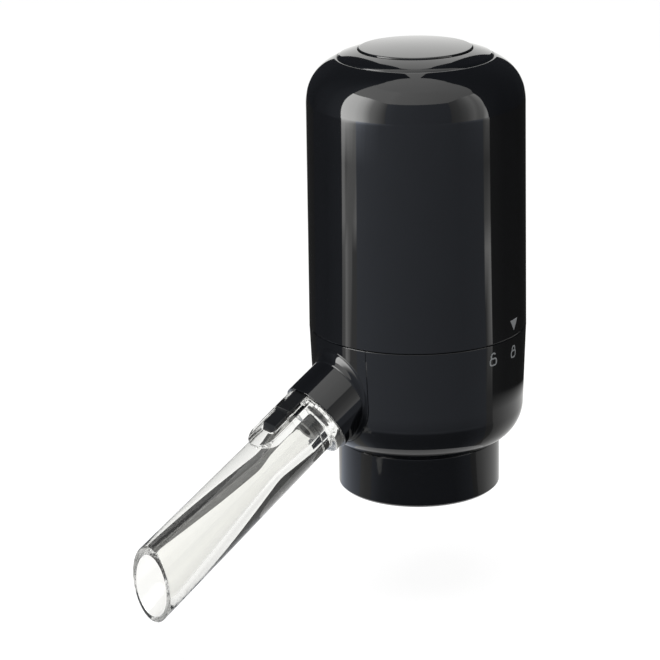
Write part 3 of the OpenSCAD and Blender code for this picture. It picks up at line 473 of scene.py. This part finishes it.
def spout_section(turn):
    """Outline of the spout's wall at one turn about its axis, as (radius, place along the axis)."""
    out_slope = (MOUTH_R - ROOT_R) / (MOUTH_S - SPOUT_START)
    in_slope = (BORE_END_R - THROAT_R) / (WALL_END_S - THROAT_S)
    outer = along_cone(ROOT_R, SPOUT_START, out_slope, turn)
    inner = along_cone(THROAT_R, THROAT_S, in_slope, turn)
    out_way = Vector((out_slope, 1)).normalized()
    in_way = Vector((in_slope, 1)).normalized()
    across = (inner - outer).normalized()
    root = Vector((ROOT_R + out_slope * (FLANGE_END - SPOUT_START), FLANGE_END))
    outline = [Vector((SOCKET_R + EDGE, SPOUT_START))]
    outline += rounded_corner(
        Vector((FLANGE_R - EDGE, SPOUT_START)), Vector((FLANGE_R, SPOUT_START)),
        Vector((FLANGE_R, SPOUT_START + EDGE)))
    outline += rounded_corner(
        Vector((FLANGE_R, FLANGE_END - EDGE)), Vector((FLANGE_R, FLANGE_END)),
        Vector((FLANGE_R - EDGE, FLANGE_END)))
    outline += rounded_corner(root + Vector((EDGE, 0)), root, root + out_way * EDGE)
    start = outline[-1]
    last = outer - out_way * LIP
    outline += [start.lerp(last, i / 20) for i in range(1, 20)]
    outline += rounded_corner(last, outer, outer + across * LIP)
    outline += rounded_corner(inner - across * LIP, inner, inner - in_way * LIP)
    start = outline[-1]
    throat = Vector((THROAT_R, THROAT_S))
    bore_end = throat + in_way * THROAT_BLEND
    outline += [start.lerp(bore_end, i / 16) for i in range(1, 16)]
    socket = Vector((SOCKET_R - 0.1, SOCKET_END))
    outline += rounded_corner(bore_end, throat, throat.lerp(socket, 0.16), 4)
    outline += [throat.lerp(socket, share) for share in (0.4, 0.7, 1.0)]
    outline += [Vector((SOCKET_R, SOCKET_END)), Vector((SOCKET_R, SPOUT_START + EDGE))]
    return outline


def spout_tube():
    """The turned body of the spout, from its flange to its upright mouth, with its bore."""
    mesh = bmesh.new()
    rings = []
    for i in range(ROUND):
        turn = math.tau * i / ROUND
        rings.append([
            mesh.verts.new(round_spout(radius, turn, along)) for radius, along in spout_section(turn)
        ])
    join_loops(mesh, rings + rings[:1], capped=False)
    return link_piece("clear_spout", mesh, CLEAR)


def stacked(name, outlines):
    """A closed solid through outlines of equal length, one above the other: each is (height, points)."""
    mesh = bmesh.new()
    layers = [
        [mesh.verts.new(on_spout(across, up, along)) for across, along in points] for up, points in outlines
    ]
    join_loops(mesh, layers)
    return link_piece(name, mesh, CLEAR)


def pad_outline(inset):
    """Plan of the pad round the tongue: straight sides and a round end."""
    half = PAD_HALF - inset
    middle = PAD_END - PAD_HALF
    points = [(half, SPOUT_START + EDGE), (half, (SPOUT_START + middle) / 2)]
    for i in range(33):
        turn = math.pi * i / 32
        points.append((half * math.cos(turn), middle + half * math.sin(turn)))
    points += [(-half, (SPOUT_START + middle) / 2), (-half, SPOUT_START + EDGE)]
    return points


def slot_outline():
    """Plan of the slot that the tongue lies in, with rounded far corners."""
    inner = SLOT_HALF - SLOT_CORNER
    points = [(SLOT_HALF, SLOT_START)]
    for middle, first in ((inner, 0), (-inner, math.pi / 2)):
        for i in range(9):
            turn = first + math.pi / 2 * i / 8
            points.append((
                middle + SLOT_CORNER * math.cos(turn), SLOT_END - SLOT_CORNER + SLOT_CORNER * math.sin(turn),
            ))
    points.append((-SLOT_HALF, SLOT_START))
    return points


def combine(piece, tool, operation):
    """Joins a piece with a tool solid, or cuts it by one, and keeps the result as plain mesh."""
    step = piece.modifiers.new("step", "BOOLEAN")
    step.operation = operation
    step.object = tool
    step.solver = "EXACT"
    done = piece.evaluated_get(bpy.context.evaluated_depsgraph_get())
    result = bpy.data.meshes.new_from_object(done)
    piece.modifiers.clear()
    piece.data = result
    bpy.data.objects.remove(tool)


def build_spout():
    """The clear spout: tube, keyed pad and slot in one moulding."""
    spout = spout_tube()
    pad = stacked("pad", [
        (PAD_FOOT, pad_outline(0)), (PAD_TOP - EDGE, pad_outline(0)),
        (PAD_TOP - EDGE * 0.3, pad_outline(EDGE * 0.3)), (PAD_TOP, pad_outline(EDGE)),
    ])
    combine(spout, pad, "UNION")
    slot = stacked("slot", [(SLOT_FLOOR, slot_outline()), (SLOT_HEAD, slot_outline())])
    combine(spout, slot, "DIFFERENCE")
    smooth(spout)
    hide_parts("pour_spout")
    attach(spout, "spout")


# Casing, crown ring and button: radii and heights in millimetres. Their tops are truer than the solids'.
CASING_OUTLINE = (
    (29.7, 108.5), (29.71, 106.5), (BODY_R, 46.8), (29.9, 46.7), (27.8, 46.7), (27.5, 110.3),
)
# inside of the shoulder, a wall's thickness below it
INNER_BEND_CENTRE = Vector((19, 110.3))
INNER_BEND_R = 8.5
CASING_SEAT = (
    (22.6, 117.0), (17.95, 117.0), (17.95, 119.0), (21.1, 119.0), (21.1, 121.05), (21.14, 121.14),
)
CASING_LIP = (21.32, 121.13)
SHOULDER_PULL = ((25.94, 119.2), (29.7, 115.7))
CROWN_OUTLINE = ((15.55, 117.7), (17.85, 117.7), (17.85, 119.0), (21.0, 119.0), (21.0, 121.15))
CROWN_EDGE = (Vector((20.98, 121.2)), Vector((20.72, 121.68)), Vector((20.3, 121.85)))
CROWN_TOP = (Vector((20.3, 121.85)), Vector((18.1, 122.68)), Vector((15.75, 123.25)))
CROWN_LIP = (Vector((15.75, 123.25)), Vector((15.55, 123.28)), Vector((15.55, 123.05)))
BUTTON_OUTLINE = (
    (0, 112.8), (2.2, 112.8), (2.2, 121.5), (13.3, 121.5), (13.3, 116.4), (17.35, 116.4), (17.35, 117.6),
    (15.3, 117.6),
)
BUTTON_EDGE = (Vector((15.3, 123.45)), Vector((15.3, 123.7)), Vector((14.95, 123.72)))
BUTTON_TOP = 124.38


def turned(name, outline, finish):
    """A solid turned about the body's axis: an outline from axis to axis, or a closed one beside it."""
    mesh = bmesh.new()
    turns = [math.tau * i / ROUND for i in range(ROUND)]
    rings = []
    for radius, z in outline:
        if radius == 0:
            rings.append([mesh.verts.new((0, 0, z * MM))] * ROUND)
        else:
            places = [Vector((radius * math.cos(turn), radius * math.sin(turn), z)) * MM for turn in turns]
            rings.append([mesh.verts.new(place) for place in places])
    if outline[0][0] > 0:
        rings.append(rings[0])
    join_loops(mesh, rings, capped=False)
    made = link_piece(name, mesh, finish)
    smooth(made)
    return made


def build_casing():
    """The head's tube with its shoulder, which runs on in one sweep to the lip round the crown ring."""
    outline = [Vector(point) for point in CASING_OUTLINE]
    for i in range(1, 10):
        turn = math.radians(5 * i)
        outline.append(INNER_BEND_CENTRE + Vector((math.cos(turn), math.sin(turn))) * INNER_BEND_R)
    outline += [Vector(point) for point in CASING_SEAT]
    lip, foot = Vector(CASING_LIP), Vector(CASING_OUTLINE[0])
    pull_in, pull_out = (Vector(point) for point in SHOULDER_PULL)
    for i in range(32):
        t = i / 32
        ends = lip * (1 - t) ** 3 + foot * t ** 3
        outline.append(ends + pull_in * 3 * t * (1 - t) ** 2 + pull_out * 3 * t ** 2 * (1 - t))
    casing = turned("casing_shell", outline, GLOSS)
    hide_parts("upper_casing")
    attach(casing, "head")


def build_crown():
    """The ring round the button, whose edge is flush with the casing's lip."""
    outline = [Vector(point) for point in CROWN_OUTLINE]
    outline += rounded_corner(*CROWN_EDGE)
    outline += rounded_corner(*CROWN_TOP, 16)[1:]
    outline += rounded_corner(*CROWN_LIP)[1:]
    crown = turned("crown_bezel", outline, GLOSS)
    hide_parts("crown_ring")
    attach(crown, "head")


def build_button():
    """The cap that is pressed, with a low dome, a little proud of the ring round it."""
    outline = [Vector(point) for point in BUTTON_OUTLINE]
    outline += rounded_corner(*BUTTON_EDGE)
    edge = outline[-1]
    for i in range(1, 25):
        share = 1 - i / 24
        outline.append(Vector((edge.x * share, BUTTON_TOP - (BUTTON_TOP - edge.y) * share ** 2)))
    button = turned("button_cap", outline, GLOSS)
    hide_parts("power_button")
    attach(button, "button")


# Coil spring under the button, in millimetres, drawn at its resting length.
SPRING_FOOT = 107.8
SPRING_LENGTH = 13.7
SPRING_RADIUS = 8.0
SPRING_WIRE_RADIUS = 0.45
SPRING_TURNS = 5
STEPS_PER_TURN = 36
WIRE_SIDES = 10


def build_press_spring():
    """The coil that holds the button up, at its resting length."""
    mesh = bmesh.new()
    steps = SPRING_TURNS * STEPS_PER_TURN
    rings = []
    for i in range(steps + 1):
        turn = math.tau * SPRING_TURNS * i / steps
        rise = SPRING_FOOT + SPRING_WIRE_RADIUS + (SPRING_LENGTH - 2 * SPRING_WIRE_RADIUS) * i / steps
        ring = []
        for k in range(WIRE_SIDES):
            round_wire = math.tau * k / WIRE_SIDES
            reach = SPRING_RADIUS + SPRING_WIRE_RADIUS * math.cos(round_wire)
            up = rise + SPRING_WIRE_RADIUS * math.sin(round_wire)
            ring.append(mesh.verts.new(Vector((reach * math.cos(turn), reach * math.sin(turn), up)) * MM))
        rings.append(ring)
    join_loops(mesh, rings)
    spring = link_piece("press_spring", mesh, SPRING_WIRE)
    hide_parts("button_spring")
    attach(spring, "head")
    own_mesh(spring)


# Signs that show which way the head turns, printed on the wall. Angles are degrees from the spout.
LOCKED_AT = 111.7
UNLOCKED_AT = 94.3
TRIANGLE_Z = (48.45, 51.55)
TRIANGLE_W = 3.9
# padlock: its case, with the power that squares its round corners, and its shackle
CASE_Z = 41.75
CASE_HALF_W = 1.15
CASE_HALF_H = 0.95
CASE_POWER = 0.6
CASE_TOP = CASE_Z + CASE_HALF_H
SHACKLE_R = 0.75
CLOSED_LEG = 0.55
OPEN_LEG = 0.75
OPEN_FROM = 30
LINE_W = 0.42
# the ink lies this far off the wall, below and above
INK_UNDER = 0.005
INK_OVER = 0.03


def on_wall(turn_degrees, across, z, lift):
    """A point on the body's wall, so many millimetres to the right of an angle, lifted off the wall."""
    radius = wall_radius(z)
    turn = math.radians(turn_degrees) + across / radius
    return Vector((
        (radius + lift) * math.sin(turn), -(radius + lift) * math.cos(turn), z,
    )) * MM


def printed(name, turn, strips, body):
    """A sign of thin strips of ink on the wall; each strip is two rows of points, (across, height)."""
    mesh = bmesh.new()
    for left, right in strips:
        rows = []
        for (x0, z0), (x1, z1) in zip(left, right):
            rows.append([
                mesh.verts.new(on_wall(turn, x, z, lift))
                for x, z, lift in (
                    (x0, z0, INK_UNDER), (x1, z1, INK_UNDER), (x1, z1, INK_OVER), (x0, z0, INK_OVER))
            ])
        join_loops(mesh, rows)
    sign = link_piece(name, mesh, INK)
    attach(sign, body)


def ribbon(points, closed=False):
    """A line of even width along points, as the two rows of a strip."""
    left = []
    right = []
    count = len(points)
    for i, point in enumerate(points):
        before = Vector(points[i - 1] if closed or i else point)
        after = Vector(points[(i + 1) % count] if closed or i + 1 < count else point)
        way = (after - before).normalized()
        aside = Vector((-way.y, way.x)) * LINE_W / 2
        left.append(Vector(point) + aside)
        right.append(Vector(point) - aside)
    if closed:
        left.append(left[0])
        right.append(right[0])
    return left, right


def shackle(from_degrees, leg, count=12):
    """Points of a padlock's shackle: an arc that ends in a straight leg down to the case."""
    points = []
    for i in range(count + 1):
        turn = math.radians(from_degrees + (180 - from_degrees) * i / count)
        points.append((SHACKLE_R * math.cos(turn), CASE_TOP + leg + SHACKLE_R * math.sin(turn)))
    return points + [(points[-1][0], CASE_TOP)]


def padlock_case():
    """Closed outline of a padlock's case with round corners."""
    points = []
    for i in range(24):
        turn = math.tau * i / 24
        across, up = math.cos(turn), math.sin(turn)
        points.append((
            CASE_HALF_W * math.copysign(abs(across) ** CASE_POWER, across),
            CASE_Z + CASE_HALF_H * math.copysign(abs(up) ** CASE_POWER, up),
        ))
    return points


def build_signs():
    """A triangle on the head, and a closed and an open padlock on the housing."""
    low, high = TRIANGLE_Z
    columns = 12
    slices = []
    for i in range(columns):
        left, right = (TRIANGLE_W * (k / columns - 0.5) for k in (i, i + 1))
        foot_left, foot_right = (low + (high - low) * abs(x) * 2 / TRIANGLE_W for x in (left, right))
        slices.append(([(left, foot_left), (left, high)], [(right, foot_right), (right, high)]))
    printed("twist_triangle", LOCKED_AT, slices, "head")
    case = ribbon(padlock_case(), closed=True)
    closed = ribbon([(SHACKLE_R, CASE_TOP)] + shackle(0, CLOSED_LEG))
    printed("closed_padlock", LOCKED_AT, [case, closed], "base")
    printed("open_padlock", UNLOCKED_AT, [case, ribbon(shackle(OPEN_FROM, OPEN_LEG))], "base")


# Hollow at the root of the port: where it runs round the port, in degrees, and its width in millimetres.
FILLET_FROM = -20
FILLET_SWEEP = 220
FILLET_LEAST = 1.0
FILLET_MORE_ABOVE = 1.5
# it starts and ends at this share of its width, and reaches all of it this steeply
FILLET_TIP = 0.15
FILLET_GROWTH = 4


def port_root(turn):
    """How far along the spout's axis the port's line at this turn comes out of the body's wall."""
    low, high = BODY_R - PORT_R, PORT_END
    for _ in range(40):
        middle = (low + high) / 2
        point = round_spout(PORT_R, turn, middle) / MM
        if math.hypot(point.x, point.y) < wall_radius(point.z):
            low = middle
        else:
            high = middle
    return low


def build_port_fillet():
    """The soft hollow by which the port runs into the wall, widest above and gone below."""
    mesh = bmesh.new()
    sections = []
    steps = 60
    for i in range(steps + 1):
        turn = math.radians(FILLET_FROM + FILLET_SWEEP * i / steps)
        width = FILLET_LEAST + FILLET_MORE_ABOVE * max(0.0, math.sin(turn))
        width *= min(1.0, FILLET_TIP + FILLET_GROWTH * min(i, steps - i) / steps)
        root = port_root(turn)
        corner = round_spout(PORT_R, turn, root)
        upper = round_spout(PORT_R, turn, root + width)
        far = round_spout(PORT_R + width, turn, root) / MM
        onto_wall = wall_radius(far.z) / math.hypot(far.x, far.y)
        lower = Vector((far.x * onto_wall, far.y * onto_wall, far.z)) * MM
        # the back of the hollow's strip lies within the wall
        inside = corner - Vector((corner.x, corner.y, 0)) * 0.03
        outline = [inside] + rounded_corner(upper, corner, lower, 8)
        sections.append([mesh.verts.new(point) for point in outline])
    join_loops(mesh, sections)
    fillet = link_piece("port_fillet", mesh, GLOSS)
    smooth(fillet, 40)
    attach(fillet, "base")


# Light tent: cards on a dome round the object, seen in its gloss. Angles are degrees right of the camera.
TENT_CENTRE = Vector((0, 0, 60 * MM))
TENT_RADIUS = 0.8
FLAG_RADIUS = 0.76
SHEET_Z = -18.1 * MM
# The floor lies lower, so that the spout clears it when it is pulled off.
FLOOR_Z = SHEET_Z - 17.0 * MM
FLOOR_HALF = 3.0
CARD_STEP = 4

# Tints of what glows: the cool light of the room beyond the tent, and white cloth.
COOL = (0.93, 1.0, 1.14)
NEUTRAL = (1.0, 1.0, 0.985)
# What the paper adds to its own light where it is seen, and how bright the room is as light.
PAPER_GLOW = 0.86
ROOM_LIGHT = 0.55

# Each card: tint, then columns of angle, heights of foot and head, glow at foot and head.
CARDS = (
    # left wall
    (NEUTRAL, (
        (-92, -8, 40, 9.5, 9.5), (-74, -8, 40, 9.0, 9.0), (-65, -8, 40, 8.5, 8.5), (-56, -8, 40, 6.5, 6.5),
        (-47, -8, 38, 2.6, 2.8), (-38, -8, 35, 1.3, 1.8), (-31, -8, 33, 0.6, 0.8))),
    # right wall
    (NEUTRAL, (
        (36, -8, 33, 0.42, 0.5), (45, -8, 36, 0.55, 0.7), (53, -8, 39, 0.8, 1.3), (62, -8, 40, 1.6, 2.2),
        (67, -8, 40, 1.3, 1.8), (72, -8, 40, 1.4, 3.0), (76, -8, 40, 3.4, 3.4), (86, -8, 40, 3.4, 3.4))),
    # open front
    (COOL, (
        (-31, -8, 33, 0.58, 0.66), (-20, -8, 33, 0.48, 0.5), (10, -8, 33, 0.42, 0.4),
        (36, -8, 33, 0.36, 0.38))),
    # roof
    (NEUTRAL, (
        (-31, 33, 64, 2.1, 2.1), (-20, 33, 64, 1.8, 1.85), (10, 33, 64, 1.6, 1.7), (36, 33, 64, 1.4, 1.6))),
    (NEUTRAL, (
        (-100, 40, 64, 2.3, 2.1), (-56, 40, 64, 2.3, 2.1), (-47, 38, 64, 2.2, 2.1), (-38, 35, 64, 2.1, 2.1),
        (-31, 33, 64, 2.1, 2.1))),
    (NEUTRAL, (
        (36, 33, 64, 1.4, 1.6), (45, 36, 64, 1.4, 1.6), (53, 39, 64, 1.4, 1.6), (62, 40, 64, 1.4, 1.6),
        (100, 40, 64, 1.4, 1.5))),
    (NEUTRAL, (
        (-180, 64, 90, 1.5, 1.8), (-90, 64, 90, 2.0, 1.8), (0, 64, 90, 1.8, 1.8), (90, 64, 90, 1.5, 1.8),
        (180, 64, 90, 1.5, 1.8))),
    # white backdrop
    (NEUTRAL, ((155, -8, 30, 1.36, 1.4), (205, -8, 30, 1.36, 1.4))),
    (NEUTRAL, ((155, 30, 64, 1.6, 1.5), (205, 30, 64, 1.6, 1.5))),
)

# Dark flags behind the object, nearer than the cards; the backdrop shows between them, narrower above.
GLOSS_FLAGS = (
    (COOL, (
        (-171.6, 54, 75, 0.08, 0.06), (-167, 45, 75, 0.06, 0.06), (-166.8, -8, 75, 0.02, 0.06),
        (-130, -8, 75, 0.04, 0.08), (-105, -8, 72, 0.14, 0.12), (-94, -8, 68, 0.24, 0.18),
        (-88, -8, 62, 0.28, 0.22), (-84, -8, 54, 0.3, 0.26), (-82, -8, 44, 0.3, 0.28))),
    (COOL, (
        (75, 14, 42, 0.14, 0.12), (77, 5, 45, 0.14, 0.12), (79.7, -8, 48, 0.13, 0.12),
        (84, -8, 56, 0.12, 0.1), (88, -8, 62, 0.1, 0.1), (94, -8, 68, 0.08, 0.1),
        (105, -8, 72, 0.06, 0.09), (130, -8, 75, 0.03, 0.08), (166.8, -8, 75, 0.02, 0.06),
        (167, 45, 75, 0.06, 0.06), (171.6, 54, 75, 0.08, 0.06))),
)
# What the clear spout is seen against: dark behind and at the sides, grey walls, front and roof.
CLEAR_CARDS = (
    (NEUTRAL, (
        (-190, -8, 64, 0.04, 0.05), (-130, -8, 64, 0.04, 0.06), (-90, -8, 64, 0.12, 0.15),
        (-80, -8, 64, 0.9, 0.6), (-50, -8, 64, 0.9, 0.6), (-30, -8, 64, 0.45, 0.5), (40, -8, 64, 0.4, 0.5),
        (60, -8, 64, 0.9, 0.6), (76, -8, 64, 0.9, 0.6), (84, -8, 64, 0.1, 0.12), (130, -8, 64, 0.04, 0.06),
        (170, -8, 64, 0.04, 0.05))),
    (NEUTRAL, (
        (-190, 64, 90, 0.3, 0.6), (-80, 64, 90, 0.5, 0.6), (0, 64, 90, 0.6, 0.6), (170, 64, 90, 0.3, 0.6))),
)

# Sheet on the ground, seen only in the gloss: columns of angle and glow, one for each reach in millimetres.
SHEET_REACH = (34, 105, 132, 146, 270, 355, 400, 500, 640, 850)
SHEET = (
    # white backdrop
    (-196, *[0.9] * 10),
    (-164, *[0.9] * 10),
    # dark flag behind on the left
    (-163, 0.8, 0.8, *[0.03] * 8),
    (-130, 0.8, 0.8, *[0.05] * 8),
    (-105, 0.8, 0.7, *[0.1] * 8),
    (-82, 0.7, 0.5, *[0.2] * 8),
    # foot of the left wall, a strip with a narrow dark line in it
    (-81.5, 0.6, 0.5, 0.8, 0.8, 1.0, 1.3, 2.3, 2.3, 6.0, 9.0),
    (-78.5, 0.6, 0.5, 0.8, 0.8, 1.0, 1.4, 2.3, 2.3, 6.0, 9.0),
    (-76.4, 0.55, 0.48, 2.3, 2.3, 2.2, 2.3, 1.5, 1.0, 6.0, 9.0),
    (-73, 0.5, 0.45, 1.5, 1.5, 1.4, 1.5, 1.4, 1.4, 5.5, 9.0),
    (-71.5, 0.5, 0.45, 0.6, 0.6, 1.3, 1.4, 1.4, 1.4, 5.0, 9.0),
    (-68.9, 0.48, 0.44, 0.6, 0.6, 0.62, 1.3, 1.4, 1.4, 4.5, 8.5),
    (-68.4, 0.48, 0.44, 0.6, 0.6, 0.62, 0.64, 1.4, 1.4, 4.5, 8.5),
    (-63.6, 0.4, 0.4, 0.6, 0.6, 0.62, 0.64, 2.2, 1.4, 3.0, 8.0),
    (-63, 0.4, 0.4, 0.6, 0.6, 0.62, 0.64, 0.66, 0.66, 2.6, 8.0),
    # grey front: painted shade where the floor in front lies in shade, darkest close under the object
    (-50, 0.22, 0.25, 0.58, 0.58, 0.6, 0.6, 0.6, 0.62, 1.2, 3.0),
    (-36, 0.15, 0.18, 0.54, 0.54, 0.55, 0.55, 0.55, 0.56, 0.6, 1.3),
    (-20, 0.13, 0.16, *[0.5] * 7, 0.55),
    (10, 0.11, 0.14, *[0.43] * 7, 0.45),
    (45, 0.1, 0.13, *[0.36] * 6, 0.38, 0.5),
    # foot of the right wall, a strip that ends in a point
    (71.5, 0.18, 0.22, *[0.36] * 6, 0.6, 1.4),
    (72.3, 0.18, 0.22, *[0.36] * 3, 2.0, 0.9, 0.5, 0.8, 1.4),
    (78, 0.2, 0.25, 0.36, 0.36, 1.6, 2.3, 1.1, 0.55, 1.4, 3.0),
    (80, 0.25, 0.3, 0.36, 0.36, 2.2, 2.3, 1.1, 0.55, 1.4, 3.0),
    # dark flag behind on the right
    (80.5, 0.4, 0.5, 0.6, *[0.13] * 7),
    (100, 0.7, 0.7, 0.8, *[0.07] * 7),
    (130, 0.8, 0.8, 0.9, *[0.03] * 7),
    (163, 0.8, 0.8, 0.8, *[0.02] * 7),
    # white backdrop
    (164, *[0.9] * 10),
)
# Angles between which the left flag and the open front give the sheet their cooler tint.
COOL_SPANS = ((-130, -82), (-63, 72))

# Dark card on the ground behind, seen only through clear pieces: how far back it starts, and its reach.
BACK_CARD_START = 120 * MM
BACK_CARD_REACH = 800 * MM
BACK_CARD_GLOW = 0.05


def outward(azimuth, height):
    """Direction at an angle right of the camera and a height angle."""
    turn = math.radians(azimuth) + CAMERA_TURN
    rise = math.radians(height)
    return Vector((math.sin(turn) * math.cos(rise), -math.cos(turn) * math.cos(rise), math.sin(rise)))


def cloth(name):
    """White cloth lit from behind: it glows as each corner of a card says."""
    made, tree = new_material(name)
    glow = add(tree, "ShaderNodeAttribute", attribute_name="glow")
    light = add(tree, "ShaderNodeEmission", {"Color": glow.outputs["Color"]})
    add(tree, "ShaderNodeOutputMaterial", {"Surface": light.outputs[0]})
    return made


def glowing_grid(mesh, glow, grid):
    """A sheet of faces through columns of (place, glow, tint)."""
    columns = []
    for column in grid:
        corners = []
        for place, level, tint in column:
            corner = mesh.verts.new(place)
            corner[glow] = (tint[0] * level, tint[1] * level, tint[2] * level, 1)
            corners.append(corner)
        columns.append(corners)
    for one, two in zip(columns, columns[1:]):
        for k in range(len(one) - 1):
            mesh.faces.new((one[k], two[k], two[k + 1], one[k + 1]))


def between(columns):
    """Columns filled in so that they are never further apart than the step of a card."""
    filled = []
    for left, right in zip(columns, columns[1:]):
        count = max(1, round((right[0] - left[0]) / CARD_STEP))
        for i in range(count):
            filled.append([a + (b - a) * i / count for a, b in zip(left, right)])
    filled.append(list(columns[-1]))
    return filled


def stage_sheet(name, grids, in_gloss=True, through_clear=True):
    """A lit sheet of the studio, seen in gloss or through clear pieces, and never by the camera itself."""
    mesh = bmesh.new()
    glow = mesh.verts.layers.float_color.new("glow")
    for grid in grids:
        glowing_grid(mesh, glow, grid)
    made = link_piece(name, mesh, cloth(name + "_cloth"))
    made.visible_camera = False
    made.visible_diffuse = False
    made.visible_shadow = False
    made.visible_glossy = in_gloss
    made.visible_transmission = through_clear


def on_dome(cards, radius):
    """Grids of cards that hang on a dome round the object."""
    grids = []
    for tint, columns in cards:
        rows = max(2, round(max(head - foot for _, foot, head, _, _ in columns) / CARD_STEP) + 1)
        grid = []
        for azimuth, foot, head, foot_glow, head_glow in between(columns):
            column = []
            for k in range(rows):
                share = k / (rows - 1)
                way = outward(azimuth, foot + (head - foot) * share)
                level = foot_glow + (head_glow - foot_glow) * share
                column.append((TENT_CENTRE + way * radius, level, tint))
            grid.append(column)
        grids.append(grid)
    return grids


def build_tent():
    """White walls at both sides, a white roof, an open grey front and dark flags behind."""
    stage_sheet("light_tent", on_dome(CARDS, TENT_RADIUS), through_clear=False)
    stage_sheet("gloss_flags", on_dome(GLOSS_FLAGS, FLAG_RADIUS), through_clear=False)
    stage_sheet("clear_tent", on_dome(CLEAR_CARDS, TENT_RADIUS), in_gloss=False)


def build_ground_sheet():
    """Sheet on the ground round the object, seen only in the gloss: grey with painted shade where the floor
    in front lies in shade, and dark under the flags behind.
    """
    lift = Vector((0, 0, SHEET_Z))
    grid = []
    for azimuth, *levels in between(SHEET):
        way = outward(azimuth, 0)
        cool = any(first <= azimuth <= last for first, last in COOL_SPANS)
        tint = COOL if cool else NEUTRAL
        grid.append([(way * reach * MM + lift, level, tint) for reach, level in zip(SHEET_REACH, levels)])
    # the sheet's grey front is painted shade of the floor, seen only in the gloss
    stage_sheet("ground_sheet", [grid], through_clear=False)


def build_back_card():
    """A dark card on the ground behind the object, which darkens the upper bands of the clear spout."""
    away = outward(180, 0)
    aside = outward(90, 0) * BACK_CARD_REACH
    lift = Vector((0, 0, SHEET_Z))
    near = away * BACK_CARD_START + lift
    far = away * BACK_CARD_REACH + lift
    grid = [
        [(end + side, BACK_CARD_GLOW, NEUTRAL) for end in (near, far)] for side in (-aside, aside)
    ]
    stage_sheet("back_card", [grid], in_gloss=False)


def seen_directly(tree):
    """1 for rays that show the ground as a picture: from the camera, in gloss and through clear pieces."""
    path = add(tree, "ShaderNodeLightPath")
    first = add(
        tree, "ShaderNodeMath", {0: path.outputs["Is Camera Ray"], 1: path.outputs["Is Glossy Ray"]},
        operation="MAXIMUM")
    both = add(
        tree, "ShaderNodeMath", {0: first.outputs[0], 1: path.outputs["Is Transmission Ray"]},
        operation="MAXIMUM")
    return both.outputs[0]


def white_paper():
    """White paper of the sweep: it looks white all over and keeps a light shadow of the object."""
    made, tree = new_material("white_paper_sweep")
    place = add(tree, "ShaderNodeTexCoord").outputs["Object"]
    grain = add(tree, "ShaderNodeTexNoise", {"Vector": place, "Scale": per_mm(1.5), "Detail": 2})
    tone = add(
        tree, "ShaderNodeValToRGB", {"Fac": grain.outputs["Fac"]}, stops=((0, "#7f7f7f"), (1, "#858585")))
    paper = add(tree, "ShaderNodeBsdfDiffuse", {"Color": tone.outputs["Color"]})
    white = add(tree, "ShaderNodeEmission", {"Strength": PAPER_GLOW})
    lit = add(tree, "ShaderNodeAddShader", {0: paper.outputs[0], 1: white.outputs[0]})
    mixed = add(tree, "ShaderNodeMixShader", {0: seen_directly(tree), 1: paper.outputs[0], 2: lit.outputs[0]})
    add(tree, "ShaderNodeOutputMaterial", {"Surface": mixed.outputs[0]})
    return made


def build_floor():
    """The flat sheet of paper that the object stands over."""
    mesh = bmesh.new()
    corners = ((-1, -1), (1, -1), (1, 1), (-1, 1))
    mesh.faces.new([mesh.verts.new((x * FLOOR_HALF, y * FLOOR_HALF, FLOOR_Z)) for x, y in corners])
    link_piece("floor", mesh, white_paper())


def build_world():
    """A white room seen directly, and a softer one as light."""
    world = bpy.data.worlds.new("white_room")
    world.use_nodes = True
    SCENE.world = world
    tree = world.node_tree
    tree.nodes.clear()
    strength = add(tree, "ShaderNodeMapRange", {
        "Value": seen_directly(tree), "To Min": ROOM_LIGHT, "To Max": 1.0,
    })
    room = add(tree, "ShaderNodeBackground", {"Strength": strength.outputs["Result"]})
    add(tree, "ShaderNodeOutputWorld", {"Surface": room.outputs[0]})


def lamp(name, azimuth, height, size, watts):
    """A soft lamp that lights the pale pieces and stays out of the gloss."""
    data = bpy.data.lights.new(name, "AREA")
    data.shape = "DISK"
    data.size = size
    data.energy = watts
    made = bpy.data.objects.new(name, data)
    SCENE.collection.objects.link(made)
    away = outward(azimuth, height)
    made.location = TENT_CENTRE + away
    made.rotation_mode = "QUATERNION"
    made.rotation_quaternion = away.to_track_quat("Z", "Y")
    made.visible_glossy = False
    made.visible_transmission = False
    made.visible_camera = False


place_camera()
dress_nodes()
build_spout()
build_casing()
build_crown()
build_button()
build_press_spring()
build_port_fillet()
build_signs()
build_tent()
build_ground_sheet()
build_back_card()
build_floor()
build_world()
lamp("roof_lamp", azimuth=-20, height=70, size=0.9, watts=9)
lamp("left_lamp", azimuth=-75, height=25, size=0.5, watts=3)
